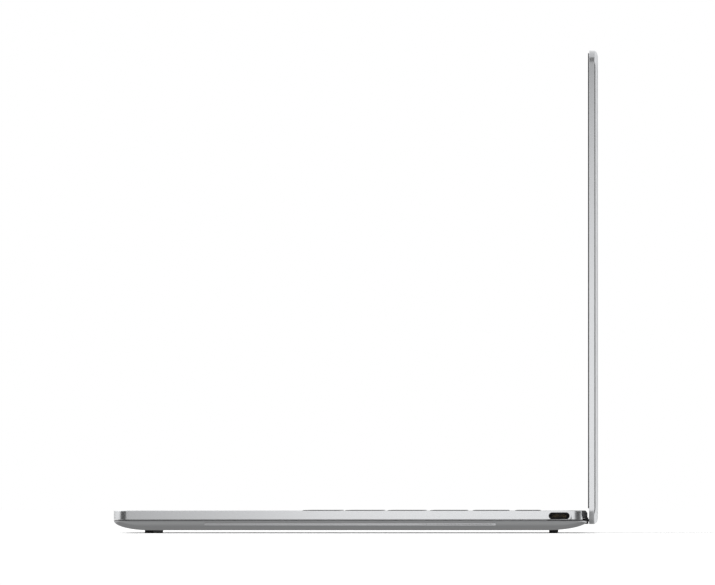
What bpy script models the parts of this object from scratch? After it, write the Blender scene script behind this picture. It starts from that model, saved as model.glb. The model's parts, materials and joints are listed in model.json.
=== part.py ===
"""A thin 13-inch clamshell laptop, open at a right angle, as an assembly of its real pieces.

Metres, +Z up, +Y towards the back of the laptop, +X towards the user's right hand. The origin is on the
desk, under the middle of the open laptop. The lid is modelled standing up, its hinge axis along X.
"""

import math

import bmesh
import bpy
from mathutils import Matrix, Vector

MM = 0.001
GAP = 0.3 * MM  # between pieces that would touch

# Overall sizes of the base.
BODY_WIDTH = 295.4 * MM
BODY_DEPTH = 199.4 * MM
CORNER_RADIUS = 6.8 * MM
FOOT_HEIGHT = 1.25 * MM  # the bottom cover's clearance over the desk
HULL_HEIGHT = 4.2 * MM  # the bottom cover's curved part
DECK_HEIGHT = 3.75 * MM  # the upright side wall
DECK_PLATE = 0.9 * MM
DECK_WALL = 1.6 * MM
HULL_WALL = 0.8 * MM
HULL_RUN_FRONT = 14.7 * MM  # how far in the curve runs before the bottom is flat
HULL_RUN_REAR = 17.9 * MM
HULL_RUN_SIDE = 11.0 * MM
HULL_BOTTOM_RADIUS = 12.0 * MM
HULL_LEVELS = 9

# Lid and hinges.
LID_THICKNESS = 4.2 * MM  # with the gasket that stands proud of the rim
LID_DROP = 2.9 * MM  # the lid's lower end, below the hinge axis
LID_EDGE_DEPTH = 1.7 * MM  # the rounded edge round the lid's back
LID_EDGE_RUN = 3.0 * MM
LID_EDGE_LEVELS = 5
LID_BACK_PLATE = 0.9 * MM
HINGE_SETBACK = 2.97 * MM  # the axis, ahead of the base's back end
GASKET_FACE = 3.2 * MM  # from the axis to the gasket's face
GASKET_PROUD = 0.45 * MM
CLOSED_GAP = 0.5 * MM  # gasket to deck with the lid shut
HINGE_FROM_SIDE = 55.7 * MM  # the middle of each hinge
HINGE_WIDTH = 40.0 * MM
KNUCKLE_WIDTH = 4.5 * MM
BARREL_RADIUS = 2.25 * MM
SHAFT_RADIUS = 1.55 * MM
SHAFT_BORE = 1.7 * MM
COVER_BORE = 1.85 * MM
COVER_FOOT = 1.7 * MM  # where the barrel cover's underside starts, behind the axis
BRACKET_REACH = 8.0 * MM  # the bracket's plate, forward of its knuckles
BRACKET_PLATE = 0.8 * MM
ARM_WEB = 0.9 * MM
ARM_WEB_TOP = -1.0 * MM
ARM_LEAF = 0.8 * MM
ARM_LEAF_TOP = 8.0 * MM
ARM_INSET = 3.0 * MM  # the web's end, in from the barrel cover's end

# Display.
GLASS_INSET = 1.1 * MM  # gasket to the lid's edge
GASKET_WIDTH = 1.2 * MM
GLASS_BOTTOM = 3.7 * MM  # the gasket's lower edge, above the axis
GLASS_THICKNESS = 0.6 * MM
GLASS_PROUD = 0.35 * MM
PANEL_SIDE = 2.5 * MM  # panel to the lid's side
PANEL_BOTTOM = 8.5 * MM  # above the axis
CAMERA_WIDTH = 60.0 * MM
CAMERA_HEIGHT = 2.4 * MM

# Keyboard.
KEYBOARD_SIDE = 11.1 * MM  # from the base's side to the first cap
KEYBOARD_BEHIND = 20.0 * MM  # from the last row to the base's back end
KEY_ROW_PITCH = 17.9 * MM
KEY_SPACE = 2.8 * MM  # between two caps
KEY_PROUD = 0.25 * MM
KEY_SKIRT = 1.65 * MM  # the cap's height
KEY_TAPER = 0.25 * MM
KEY_TRAVEL = 1.0 * MM
KEY_CLEARANCE = 0.35 * MM
FUNCTION_KEY_DEPTH = 10.7 * MM
CARRIER_DEPTH = 6.0 * MM  # the strip that carries a row of caps
CARRIER_THICKNESS = 0.3 * MM
KEY_PLATE_THICKNESS = 0.3 * MM
KEY_PLATE_MARGIN = 1.6 * MM
RIVET_RADIUS = 0.7 * MM
RIVET_COLUMNS = 5

# Touchpad.
TOUCHPAD_WIDTH = 112.0 * MM
TOUCHPAD_FRONT = 6.5 * MM  # from the base's front end
TOUCHPAD_BEHIND = 6.6 * MM  # to the first row of keys
TOUCHPAD_THICKNESS = 0.9 * MM
TOUCHPAD_BRACKET = 0.4 * MM
TOUCHPAD_BRACKET_EDGE = 3.0 * MM
TOUCHPAD_TRAVEL = 0.35 * MM

# Ports.
PORT_WIDTH = 8.7 * MM
PORT_HEIGHT = 2.8 * MM
PORT_FROM_REAR = 11.9 * MM
PORT_BELOW_DECK = 2.2 * MM
SOCKET_WIDTH = 8.84 * MM
SOCKET_HEIGHT = 2.96 * MM
SOCKET_WALL = 0.25 * MM
SOCKET_LENGTH = 7.3 * MM
TONGUE_WIDTH = 6.7 * MM
TONGUE_THICKNESS = 0.7 * MM
TONGUE_LENGTH = 5.0 * MM

# Feet, grilles and air slots.
FOOT_FROM_SIDE = 29.7 * MM
FOOT_FROM_END = 14.4 * MM  # each foot's middle, from the front or the back
FOOT_DEPTH = 3.6 * MM
FOOT_SUNK = 0.2 * MM
GRILLE_FROM_FRONT = 38.0 * MM
GRILLE_FROM_REAR = 38.4 * MM
GRILLE_BOTTOM = 3.15 * MM  # above the desk
GRILLE_HEIGHT = 1.3 * MM
GRILLE_DEPTH = 1.2 * MM
INTAKE_SLOTS = 26
INTAKE_PITCH = 5.0 * MM
INTAKE_WIDTH = 1.6 * MM
INTAKE_LENGTH = 9.0 * MM
INTAKE_ROWS_FROM_REAR = (45.4 * MM, 57.4 * MM)

# The dark trim across the back.
TRIM_DEPTH = 8.0 * MM
TRIM_WALL = 0.9 * MM
TRIM_SWING = 3.36 * MM  # its rear top edge is cut back to this radius round the hinge axis
TRIM_FROM_SIDE = 2.2 * MM  # where its long strip stops and its corner end starts
TRIM_END_DEPTH = 2.05 * MM  # the corner end, at the deck
TRIM_END_TOE = 0.6 * MM  # the corner end, at the seam
TRIM_END_UPRIGHT = 1.2 * MM  # the straight top part of the corner end's front edge
TRIM_END_LENGTH = 9.0 * MM
VENT_SLOTS = 16
VENT_WIDTH = 5.6 * MM
VENT_HEIGHT = 1.5 * MM
VENT_PITCH = 8.0 * MM

# Screws that hold the bottom cover.
OUTER_SCREW_FROM_SIDE = 13.7 * MM
INNER_SCREW_FROM_PAD = 6.0 * MM
REAR_SCREW_FROM_SIDE = 19.7 * MM
SCREW_FROM_FRONT = 20.0 * MM
SCREW_FROM_REAR = 15.4 * MM
SCREW_HEAD_RADIUS = 1.6 * MM
SCREW_HEAD_HEIGHT = 0.5 * MM
SCREW_HEAD_SUNK = 0.1 * MM
SCREW_SHANK_RADIUS = 0.7 * MM
SCREW_LENGTH = 4.4 * MM
SCREW_CLEARANCE = 0.35 * MM
BOSS_RADIUS = 3.0 * MM
BOSS_HEIGHT = 1.2 * MM
POST_RADIUS = 2.2 * MM

# Battery and speakers.
CELL_GAP = 1.5 * MM
CELL_FROM_SIDE = 23.2 * MM
CELL_FROM_FRONT = 24.0 * MM
SPEAKER_WIDTH = 11.0 * MM
SPEAKER_LENGTH = 62.0 * MM

# Main board, which hangs under the keyboard plate.
BOARD_FROM_SIDE = 29.7 * MM
BOARD_FROM_REAR = 39.4 * MM
BOARD_DEPTH = 72.0 * MM
BOARD_THICKNESS = 0.8 * MM
BOARD_STEP = 14.0 * MM  # the corner left out beside the fan
BOARD_FROM_FAN = 18.0 * MM
PROCESSOR_SIZE = Vector((28.0, 22.0, 0.8)) * MM
DRIVE_SIZE = Vector((22.0, 30.0, 1.9)) * MM
RADIO_SIZE = Vector((16.0, 22.0, 1.5)) * MM
PROCESSOR_PLACE = Vector((86.0, 30.0)) * MM  # from the board's front left corner, and so are the next
DRIVE_PLACE = Vector((26.0, 24.0)) * MM
RADIO_PLACE = Vector((56.0, 24.0)) * MM
MEMORY_PLACE = Vector((80.0, 4.0)) * MM
MEMORY_SIZE = Vector((8.0, 12.0, 0.9)) * MM
MEMORY_CHIPS = 4
COIL_PLACE = Vector((118.0, 28.0)) * MM
COIL_SIZE = Vector((4.0, 4.0, 1.4)) * MM
COILS = 4
PLUG_SIZES = ((6.0, 4.0, 16.0, 8.0, 1.2), (6.0, 60.0, 28.0, 8.0, 1.4))  # x, y, width, depth, height, mm

# Cooling.
FAN_X = 72.0 * MM
FAN_FROM_REAR = 47.4 * MM
FAN_SIZE = 46.0 * MM
FAN_CORNER = 4.0 * MM
FAN_RADIUS = 19.0 * MM
FAN_HUB_RADIUS = 7.0 * MM
FAN_BLADES = 17
FAN_BLADE = 0.7 * MM
FAN_SWEEP = 20.0  # degrees that a blade's tip trails its root
FAN_WALL = 0.5 * MM
FAN_PIN_RADIUS = 1.2 * MM
FAN_BORE_CLEARANCE = 0.15 * MM
FAN_INLET_RADIUS = 12.0 * MM
SINK_DEPTH = 9.0 * MM
SINK_FINS = 18
SINK_BASE = 0.5 * MM
SINK_FIN = 0.4 * MM
SINK_INSET = 2.0 * MM
PIPE_WIDTH = 7.0 * MM
PIPE_BEND = 12.0 * MM

# Levels and places that follow from those sizes.
SEAM = FOOT_HEIGHT + HULL_HEIGHT
DECK_BOTTOM = SEAM + GAP
DECK_TOP = DECK_BOTTOM + DECK_HEIGHT
DECK_CEILING = DECK_TOP - DECK_PLATE
FLOOR = FOOT_HEIGHT + HULL_WALL + GAP  # the lowest that an inner part reaches
RIM_FACE = GASKET_FACE + GASKET_PROUD
LID_BACK = GASKET_FACE + LID_THICKNESS
LID_TOP = BODY_DEPTH - HINGE_SETBACK  # level with the base's front end when shut
PANEL_FRONT = RIM_FACE - GLASS_PROUD + GLASS_THICKNESS + GAP
POCKET_FLOOR = LID_BACK - LID_BACK_PLATE
PANEL_TOP = LID_TOP - PANEL_SIDE - CAMERA_HEIGHT - 3 * GAP
HALF_WIDTH = BODY_WIDTH / 2
OPEN_DEPTH = LID_TOP + LID_BACK
FRONT = -OPEN_DEPTH / 2
REAR = FRONT + BODY_DEPTH
HINGE_Y = REAR - HINGE_SETBACK
HINGE_Z = DECK_TOP + CLOSED_GAP - GASKET_FACE
HINGE = Vector((0, HINGE_Y, HINGE_Z))
HINGE_OFFSET = HALF_WIDTH - HINGE_FROM_SIDE
KEY_TOP = DECK_TOP + KEY_PROUD
KEY_BOTTOM = KEY_TOP - KEY_SKIRT
CARRIER_BOTTOM = KEY_BOTTOM - CARRIER_THICKNESS / 2
KEY_PLATE_TOP = CARRIER_BOTTOM - KEY_TRAVEL - GAP
CEILING = KEY_PLATE_TOP - KEY_PLATE_THICKNESS - GAP  # the highest that a part under the keys reaches
KEYBOARD_WIDTH = BODY_WIDTH - 2 * KEYBOARD_SIDE
KEY_UNIT = (KEYBOARD_WIDTH + KEY_SPACE) / 15
KEY_DEPTH = KEY_ROW_PITCH - KEY_SPACE
KEYBOARD_FRONT = REAR - KEYBOARD_BEHIND - FUNCTION_KEY_DEPTH - 5 * KEY_ROW_PITCH
TOUCHPAD_LOW = Vector((-TOUCHPAD_WIDTH / 2, FRONT + TOUCHPAD_FRONT, DECK_TOP - TOUCHPAD_THICKNESS))
TOUCHPAD_HIGH = Vector((TOUCHPAD_WIDTH / 2, KEYBOARD_FRONT - TOUCHPAD_BEHIND, DECK_TOP))
FEET_Y = (FRONT + FOOT_FROM_END, REAR - FOOT_FROM_END)
GRILLE_ENDS = (FRONT + GRILLE_FROM_FRONT, REAR - GRILLE_FROM_REAR)
PORT_Y = REAR - PORT_FROM_REAR
PORT_Z = DECK_TOP - PORT_BELOW_DECK
BOARD_LEFT = -HALF_WIDTH + BOARD_FROM_SIDE
BOARD_REAR = REAR - BOARD_FROM_REAR
BOARD_FRONT = BOARD_REAR - BOARD_DEPTH
BOARD_BOTTOM = CEILING - BOARD_THICKNESS
FAN = Vector((FAN_X, REAR - FAN_FROM_REAR))
OUTER_SCREW_X = HALF_WIDTH - OUTER_SCREW_FROM_SIDE
INNER_SCREW_X = TOUCHPAD_WIDTH / 2 + INNER_SCREW_FROM_PAD
REAR_SCREW_X = HALF_WIDTH - REAR_SCREW_FROM_SIDE
SCREWS = (
    (-OUTER_SCREW_X, FRONT + SCREW_FROM_FRONT),
    (-INNER_SCREW_X, FRONT + SCREW_FROM_FRONT),
    (INNER_SCREW_X, FRONT + SCREW_FROM_FRONT),
    (OUTER_SCREW_X, FRONT + SCREW_FROM_FRONT),
    (-REAR_SCREW_X, REAR - SCREW_FROM_REAR),
    (REAR_SCREW_X, REAR - SCREW_FROM_REAR),
)

# Cap widths of each row in key units, from the left, front row first. The bottom row's narrow column
# before the last key holds two half-depth arrow keys.
BOTTOM_ROW = (1.25, 1, 1, 1.25, 5.5, 1, 1, 1, 1, 1)
KEY_ROWS = (
    BOTTOM_ROW,
    (2.25,) + (1,) * 10 + (2.75,),
    (1.75,) + (1,) * 11 + (2.25,),
    (1.5,) + (1,) * 12 + (1.5,),
    (1,) * 13 + (2,),
    (1,) * 15,
)
# Which caps of which row each piece of the keyboard carries.
KEY_GROUPS = {
    "left_modifier_keys": (0, range(0, 4)),
    "space_bar": (0, range(4, 5)),
    "right_modifier_keys": (0, range(5, 7)),
    "arrow_key_left": (0, range(7, 8)),
    "arrow_key_right": (0, range(9, 10)),
    "left_shift_key": (1, range(0, 1)),
    "lower_letter_keys": (1, range(1, 11)),
    "right_shift_key": (1, range(11, 12)),
    "home_letter_keys": (2, range(0, 12)),
    "enter_key": (2, range(12, 13)),
    "upper_letter_keys": (3, range(0, 14)),
    "number_keys": (4, range(0, 13)),
    "backspace_key": (4, range(13, 14)),
    "function_keys": (5, range(0, 14)),
    "power_button": (5, range(14, 15)),
}
SPLIT_ARROW_COLUMN = 8

MATERIALS = {
    "aluminium": ((0.60, 0.61, 0.63), 0.35, 1.0),
    "dark_plastic": ((0.03, 0.03, 0.032), 0.5, 0.0),
    "key_plastic": ((0.06, 0.062, 0.066), 0.55, 0.0),
    "rubber": ((0.02, 0.02, 0.02), 0.8, 0.0),
    "glass": ((0.01, 0.01, 0.012), 0.08, 0.0),
    "pad_glass": ((0.55, 0.56, 0.58), 0.3, 0.0),
    "steel": ((0.5, 0.5, 0.5), 0.3, 1.0),
    "board_green": ((0.02, 0.08, 0.05), 0.5, 0.0),
    "copper": ((0.72, 0.38, 0.22), 0.3, 1.0),
    "cell_wrap": ((0.08, 0.08, 0.09), 0.6, 0.0),
}


def fresh_scene():
    """Empties the scene and gives the collections for the laptop and for its cutters."""
    for obj in list(bpy.data.objects):
        bpy.data.objects.remove(obj)
    made = []
    for name in ("laptop", "cutters"):
        collection = bpy.data.collections.new(name)
        bpy.context.scene.collection.children.link(collection)
        made.append(collection)
    return made


LAPTOP, CUTTERS = fresh_scene()


def make_material(name, colour, roughness, metallic):
    material = bpy.data.materials.new(name)
    material.use_nodes = True
    shader = material.node_tree.nodes["Principled BSDF"]
    shader.inputs["Base Color"].default_value = (*colour, 1.0)
    shader.inputs["Roughness"].default_value = roughness
    shader.inputs["Metallic"].default_value = metallic
    return material


FINISHES = {name: make_material(name, *values) for name, values in MATERIALS.items()}


def place(name, mesh, finish=None):
    """Adds the mesh as a piece of the laptop, or as a cutter where it has no finish."""
    obj = bpy.data.objects.new(name, mesh)
    if finish is None:
        CUTTERS.objects.link(obj)
        obj.hide_render = True
        obj.display_type = "WIRE"
    else:
        LAPTOP.objects.link(obj)
        mesh.materials.append(FINISHES[finish])
    return obj


def mesh_from(bm, name):
    mesh = bpy.data.meshes.new(name)
    bm.to_mesh(mesh)
    bm.free()
    return mesh


def add_box(bm, low, high, taper=0.0):
    """A box between two corners. Its top is drawn in by the taper on every side."""
    low, high = Vector(low), Vector(high)
    made = bmesh.ops.create_cube(bm, size=1.0, matrix=Matrix.Translation((low + high) / 2))
    size, centre = high - low, (low + high) / 2
    for vert in made["verts"]:
        inset = taper if vert.co.z > centre.z else 0.0
        for axis in range(3):
            side = vert.co[axis] - centre[axis]
            half = size[axis] / 2 - (inset if axis < 2 else 0.0)
            vert.co[axis] = centre[axis] + math.copysign(half, side)


def box(name, low, high, finish=None, taper=0.0):
    bm = bmesh.new()
    add_box(bm, low, high, taper)
    return place(name, mesh_from(bm, name), finish)


def boxes(name, corners, finish=None):
    """Several separate boxes in one mesh, for one Boolean."""
    bm = bmesh.new()
    for low, high in corners:
        add_box(bm, low, high)
    return place(name, mesh_from(bm, name), finish)


def rounded_box(name, low, high, radius, finish=None, axis=2, segments=5):
    """A box whose four edges along one axis are rounded."""
    bm = bmesh.new()
    add_box(bm, low, high)
    edges = [e for e in bm.edges if abs((e.verts[0].co - e.verts[1].co).normalized()[axis]) > 0.5]
    bmesh.ops.bevel(bm, geom=edges, offset=radius, segments=segments, affect="EDGES", profile=0.5)
    return place(name, mesh_from(bm, name), finish)


TURNS = {
    "X": Matrix.Rotation(math.radians(90), 4, "Y"),
    "Z": Matrix.Identity(4),
}


def cylinders(name, centres, radius, length, axis="Z", finish=None, segments=20):
    """Cylinders of one size round the given centres."""
    bm = bmesh.new()
    for centre in centres:
        bmesh.ops.create_cone(
            bm,
            cap_ends=True,
            segments=segments,
            radius1=radius,
            radius2=radius,
            depth=length,
            matrix=Matrix.Translation(centre) @ TURNS[axis],
        )
    return place(name, mesh_from(bm, name), finish)


def arc(centre, radius, start, end, steps):
    """Points along an arc, in degrees from the first axis."""
    angles = [math.radians(start + (end - start) * i / steps) for i in range(steps + 1)]
    return [(centre[0] + radius * math.cos(a), centre[1] + radius * math.sin(a)) for a in angles]


def rounded_outline(low, high, radius, steps=5):
    """A rounded rectangle, anticlockwise."""
    corners = (
        ((high[0] - radius, low[1] + radius), -90),
        ((high[0] - radius, high[1] - radius), 0),
        ((low[0] + radius, high[1] - radius), 90),
        ((low[0] + radius, low[1] + radius), 180),
    )
    return [point for centre, start in corners for point in arc(centre, radius, start, start + 90, steps)]


# Local X, Y and Z of a flat outline, as they lie in the laptop.
FLAT = Matrix.Identity(4)  # outline on XY, thickness along Z
PROFILE = Matrix(((0, 0, 1, 0), (1, 0, 0, 0), (0, 1, 0, 0), (0, 0, 0, 1)))  # on YZ, along X
UPRIGHT = Matrix(((1, 0, 0, 0), (0, 0, -1, 0), (0, 1, 0, 0), (0, 0, 0, 1)))  # on XZ, along -Y


def outline_solid(name, outlines, thickness, centre, plane, finish=None):
    """A flat outline, holes after its edge, made a mesh with the given thickness round the centre."""
    curve = bpy.data.curves.new(name, "CURVE")
    curve.dimensions = "2D"
    curve.fill_mode = "BOTH"
    curve.extrude = thickness / 2
    for points in outlines:
        spline = curve.splines.new("POLY")
        spline.points.add(len(points) - 1)
        for target, point in zip(spline.points, points):
            target.co = (point[0], point[1], 0, 1)
        spline.use_cyclic_u = True
    drawn = bpy.data.objects.new(name, curve)
    LAPTOP.objects.link(drawn)
    drawn.matrix_world = Matrix.Translation(centre) @ plane
    graph = bpy.context.evaluated_depsgraph_get()
    mesh = bpy.data.meshes.new_from_object(drawn.evaluated_get(graph))
    matrix = drawn.matrix_world.copy()
    bpy.data.objects.remove(drawn)
    bm = bmesh.new()
    bm.from_mesh(mesh)
    bmesh.ops.remove_doubles(bm, verts=bm.verts, dist=0.001 * MM)
    bmesh.ops.recalc_face_normals(bm, faces=bm.faces)
    bm.to_mesh(mesh)
    bm.free()
    mesh.materials.clear()
    mesh.name = name
    obj = place(name, mesh, finish)
    obj.matrix_world = matrix
    return obj


def combine(target, other, operation="DIFFERENCE"):
    """Cuts the other from the target, or joins it on. The other becomes a helper."""
    if other.name in LAPTOP.objects:
        LAPTOP.objects.unlink(other)
        CUTTERS.objects.link(other)
    other.hide_render = True
    other.display_type = "WIRE"
    modifier = target.modifiers.new(other.name, "BOOLEAN")
    modifier.operation = operation
    modifier.object = other
    modifier.solver = "EXACT"


def join(target, other):
    combine(target, other, "UNION")


def centre_origin(obj, point):
    """Moves a piece's origin to a point and leaves its shape where it is."""
    obj.data.transform(Matrix.Translation(-point))
    obj.location = point


def side_name(side):
    return "left" if side < 0 else "right"


def key_cap_boxes(row, columns):
    """The (low x, high x, low y, high y) of each cap of a row."""
    widths = KEY_ROWS[row]
    starts = [-7.5 * KEY_UNIT + KEY_UNIT * sum(widths[:i]) for i in range(len(widths) + 1)]
    low_y = KEYBOARD_FRONT + row * KEY_ROW_PITCH
    depth = FUNCTION_KEY_DEPTH if row == len(KEY_ROWS) - 1 else KEY_DEPTH
    half = KEY_SPACE / 2
    return [(starts[i] + half, starts[i + 1] - half, low_y, low_y + depth) for i in columns]


def half_arrow_boxes():
    """The two half-depth arrow keys, down then up, a narrow bar of the deck apart."""
    low_x, high_x, low_y, high_y = key_cap_boxes(0, [SPLIT_ARROW_COLUMN])[0]
    middle = (low_y + high_y) / 2
    half_space = KEY_CLEARANCE + DECK_PLATE / 2
    return [(low_x, high_x, low_y, middle - half_space), (low_x, high_x, middle + half_space, high_y)]


def make_keys():
    """Every cap in its window. Caps that share a piece hang on one thin carrier under the deck."""
    groups = {name: key_cap_boxes(row, columns) for name, (row, columns) in KEY_GROUPS.items()}
    groups["arrow_key_down"], groups["arrow_key_up"] = ([cap] for cap in half_arrow_boxes())
    for name, caps in groups.items():
        bm = bmesh.new()
        for low_x, high_x, low_y, high_y in caps:
            add_box(bm, (low_x, low_y, KEY_BOTTOM), (high_x, high_y, KEY_TOP), KEY_TAPER)
        piece = place(name, mesh_from(bm, name), "key_plastic")
        left, right = caps[0][0], caps[-1][1]
        middle = (caps[0][2] + caps[0][3]) / 2
        if len(caps) > 1:
            low = (left + KEY_SPACE, middle - CARRIER_DEPTH / 2, CARRIER_BOTTOM)
            high = (right - KEY_SPACE, middle + CARRIER_DEPTH / 2, CARRIER_BOTTOM + CARRIER_THICKNESS)
            join(piece, box(name + "_carrier", low, high))
        centre_origin(piece, Vector(((left + right) / 2, middle, KEY_TOP)))
    return [cap for caps in groups.values() for cap in caps]


def hull_ring(turn):
    """One ring of the bottom cover's outside, from 0 at the seam to 1 where the bottom is flat."""
    angle = turn * math.pi / 2
    run = 1 - math.cos(angle)
    low = (-HALF_WIDTH + HULL_RUN_SIDE * run, FRONT + HULL_RUN_FRONT * run)
    high = (HALF_WIDTH - HULL_RUN_SIDE * run, REAR - HULL_RUN_REAR * run)
    radius = CORNER_RADIUS + (HULL_BOTTOM_RADIUS - CORNER_RADIUS) * run
    height = SEAM - HULL_HEIGHT * math.sin(angle)
    return [(x, y, height) for x, y in rounded_outline(low, high, radius)]


def loft(bm, rings):
    """Side faces between each ring of points and the next. It gives back the rings' vertices."""
    made = [[bm.verts.new(point) for point in ring] for ring in rings]
    count = len(made[0])
    for near, far in zip(made, made[1:]):
        for i in range(count):
            bm.faces.new((near[i], far[i], far[(i + 1) % count], near[(i + 1) % count]))
    return made


def make_bottom_cover():
    """The dished bottom cover: an open loft of rings, thickened inwards, its rim cut flat, then pierced."""
    bm = bmesh.new()
    rings = loft(bm, [hull_ring(i / HULL_LEVELS) for i in range(HULL_LEVELS + 1)])
    bm.faces.new(list(reversed(rings[-1])))
    bmesh.ops.recalc_face_normals(bm, faces=bm.faces)
    lowest = min(bm.faces, key=lambda face: face.calc_center_median().z)
    faces_out = lowest.normal.z < 0
    cover = place("bottom_cover", mesh_from(bm, "bottom_cover"), "aluminium")
    solidify = cover.modifiers.new("wall", "SOLIDIFY")
    solidify.thickness = HULL_WALL
    solidify.offset = -1 if faces_out else 1
    solidify.use_even_offset = True
    half = BODY_WIDTH / 2 + MM
    combine(cover, box("rim_cut", (-half, FRONT - MM, SEAM), (half, REAR + MM, DECK_BOTTOM + HULL_WALL)))
    pierce_for_screws(cover)
    combine(cover, boxes("foot_grooves", [foot_corners(y, GAP) for y in FEET_Y]))
    combine(cover, boxes("grille_slots", [grille_corners(side, 0, 3 * GRILLE_DEPTH) for side in (-1, 1)]))
    combine(cover, boxes("intake_slots", intake_corners()))
    room = BARREL_RADIUS - 2 * GAP
    combine(cover, boxes("cover_hinge_notches", [hinge_notch(side, room) for side in (-1, 1)]))


def pierce_for_screws(cover):
    """A boss inside for each screw, with a hole and a sunk seat for its head."""
    top = FOOT_HEIGHT + HULL_WALL + BOSS_HEIGHT
    bottom = FOOT_HEIGHT + HULL_WALL / 2
    middles = [(x, y, (top + bottom) / 2) for x, y in SCREWS]
    join(cover, cylinders("cover_bosses", middles, BOSS_RADIUS, top - bottom))
    seat = SCREW_HEAD_SUNK + SCREW_HEAD_HEIGHT + GAP
    seats = [(x, y, FOOT_HEIGHT) for x, y in SCREWS]
    combine(cover, cylinders("screw_seats", seats, SCREW_HEAD_RADIUS + SCREW_CLEARANCE, 2 * seat))
    holes = [(x, y, SEAM / 2) for x, y in SCREWS]
    combine(cover, cylinders("screw_holes", holes, SCREW_SHANK_RADIUS + SCREW_CLEARANCE, SEAM))


def foot_corners(y, clearance):
    """A rubber foot's box, or with a clearance the groove that it sits in."""
    half_x = HALF_WIDTH - FOOT_FROM_SIDE + clearance
    half_y = FOOT_DEPTH / 2 + clearance
    bottom = -clearance
    return (-half_x, y - half_y, bottom), (half_x, y + half_y, FOOT_HEIGHT + FOOT_SUNK + clearance)


def grille_corners(side, clearance, depth):
    """The box of a speaker grille low in the side wall, or of the slot that holds it."""
    middle = GRILLE_BOTTOM + GRILLE_HEIGHT / 2
    inset = HULL_RUN_SIDE * (1 - math.sqrt(1 - ((SEAM - middle) / HULL_HEIGHT) ** 2))
    face = HALF_WIDTH - inset
    outer = face - GAP if clearance else face + depth / 2
    ends = sorted((side * outer, side * (outer - depth)))
    low = (ends[0], GRILLE_ENDS[0] + clearance, GRILLE_BOTTOM + clearance)
    high = (ends[1], GRILLE_ENDS[1] - clearance, GRILLE_BOTTOM + GRILLE_HEIGHT - clearance)
    return low, high


def intake_corners():
    """The rows of air slots through the bottom."""
    found = []
    for row in INTAKE_ROWS_FROM_REAR:
        for i in range(INTAKE_SLOTS):
            x = (i - (INTAKE_SLOTS - 1) / 2) * INTAKE_PITCH
            low = (x - INTAKE_WIDTH / 2, REAR - row - INTAKE_LENGTH / 2, 0)
            high = (x + INTAKE_WIDTH / 2, REAR - row + INTAKE_LENGTH / 2, FOOT_HEIGHT + 2 * HULL_WALL)
            found.append((low, high))
    return found


def hinge_notch(side, ahead):
    """The room for a hinge's barrel, from a little ahead of the axis out to the back."""
    middle = side * HINGE_OFFSET
    half = HINGE_WIDTH / 2 + GAP
    return (middle - half, HINGE_Y - ahead, -MM), (middle + half, REAR + MM, DECK_TOP + MM)


def make_deck(caps):
    """The top cover: a plate with upright walls, posts for the screws, and a window for each key."""
    low, high = (-HALF_WIDTH, FRONT, DECK_BOTTOM), (HALF_WIDTH, REAR, DECK_TOP)
    deck = rounded_box("deck", low, high, CORNER_RADIUS, "aluminium")
    pocket_low = (-HALF_WIDTH + DECK_WALL, FRONT + DECK_WALL, DECK_BOTTOM - MM)
    pocket_high = (HALF_WIDTH - DECK_WALL, REAR - DECK_WALL, DECK_CEILING)
    combine(deck, rounded_box("deck_pocket", pocket_low, pocket_high, CORNER_RADIUS - DECK_WALL))
    post_bottom = FOOT_HEIGHT + HULL_WALL + BOSS_HEIGHT + GAP
    post_top = DECK_CEILING + DECK_PLATE / 2
    posts = [(x, y, (post_bottom + post_top) / 2) for x, y in SCREWS]
    join(deck, cylinders("deck_posts", posts, POST_RADIUS, post_top - post_bottom))
    hole_top = FOOT_HEIGHT + SCREW_LENGTH + 2 * GAP
    holes = [(x, y, hole_top / 2) for x, y in SCREWS]
    combine(deck, cylinders("post_holes", holes, SCREW_SHANK_RADIUS + SCREW_CLEARANCE, hole_top))
    windows = [(*cap, KEY_CLEARANCE) for cap in caps]
    windows.append((TOUCHPAD_LOW.x, TOUCHPAD_HIGH.x, TOUCHPAD_LOW.y, TOUCHPAD_HIGH.y, GAP))
    cuts = [
        ((low_x - room, low_y - room, DECK_CEILING - MM), (high_x + room, high_y + room, DECK_TOP + MM))
        for low_x, high_x, low_y, high_y, room in windows
    ]
    combine(deck, boxes("deck_windows", cuts))
    for side in (-1, 1):
        opening = slot_bar("port_opening", side, PORT_WIDTH, PORT_HEIGHT, HALF_WIDTH, 4 * DECK_WALL)
        combine(deck, opening)
        wall = HALF_WIDTH - DECK_WALL
        ends = sorted((side * wall, side * (wall - SOCKET_LENGTH - 2 * GAP)))
        half_y, half_z = SOCKET_WIDTH / 2 + GAP, SOCKET_HEIGHT / 2 + GAP
        relief_low = (ends[0], PORT_Y - half_y, PORT_Z - half_z)
        relief_high = (ends[1], PORT_Y + half_y, PORT_Z + half_z)
        combine(deck, box(f"port_relief_{side_name(side)}", relief_low, relief_high))
    end = HALF_WIDTH - TRIM_FROM_SIDE + GAP
    strip_front = REAR - TRIM_DEPTH - GAP
    combine(deck, box("trim_recess", (-end, strip_front, DECK_BOTTOM - MM), (end, REAR + MM, DECK_TOP + MM)))
    back, top, bottom = HINGE_SETBACK + MM, DECK_TOP - HINGE_Z + MM, DECK_BOTTOM - HINGE_Z - MM
    edge = trim_end_edge(GAP)
    corner_cut = [(back, top), (edge[0][0], top)] + edge + [(edge[-1][0], bottom), (back, bottom)]
    combine(deck, outline_solid("trim_corner_recess", [corner_cut], BODY_WIDTH + MM, HINGE, PROFILE))


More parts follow.
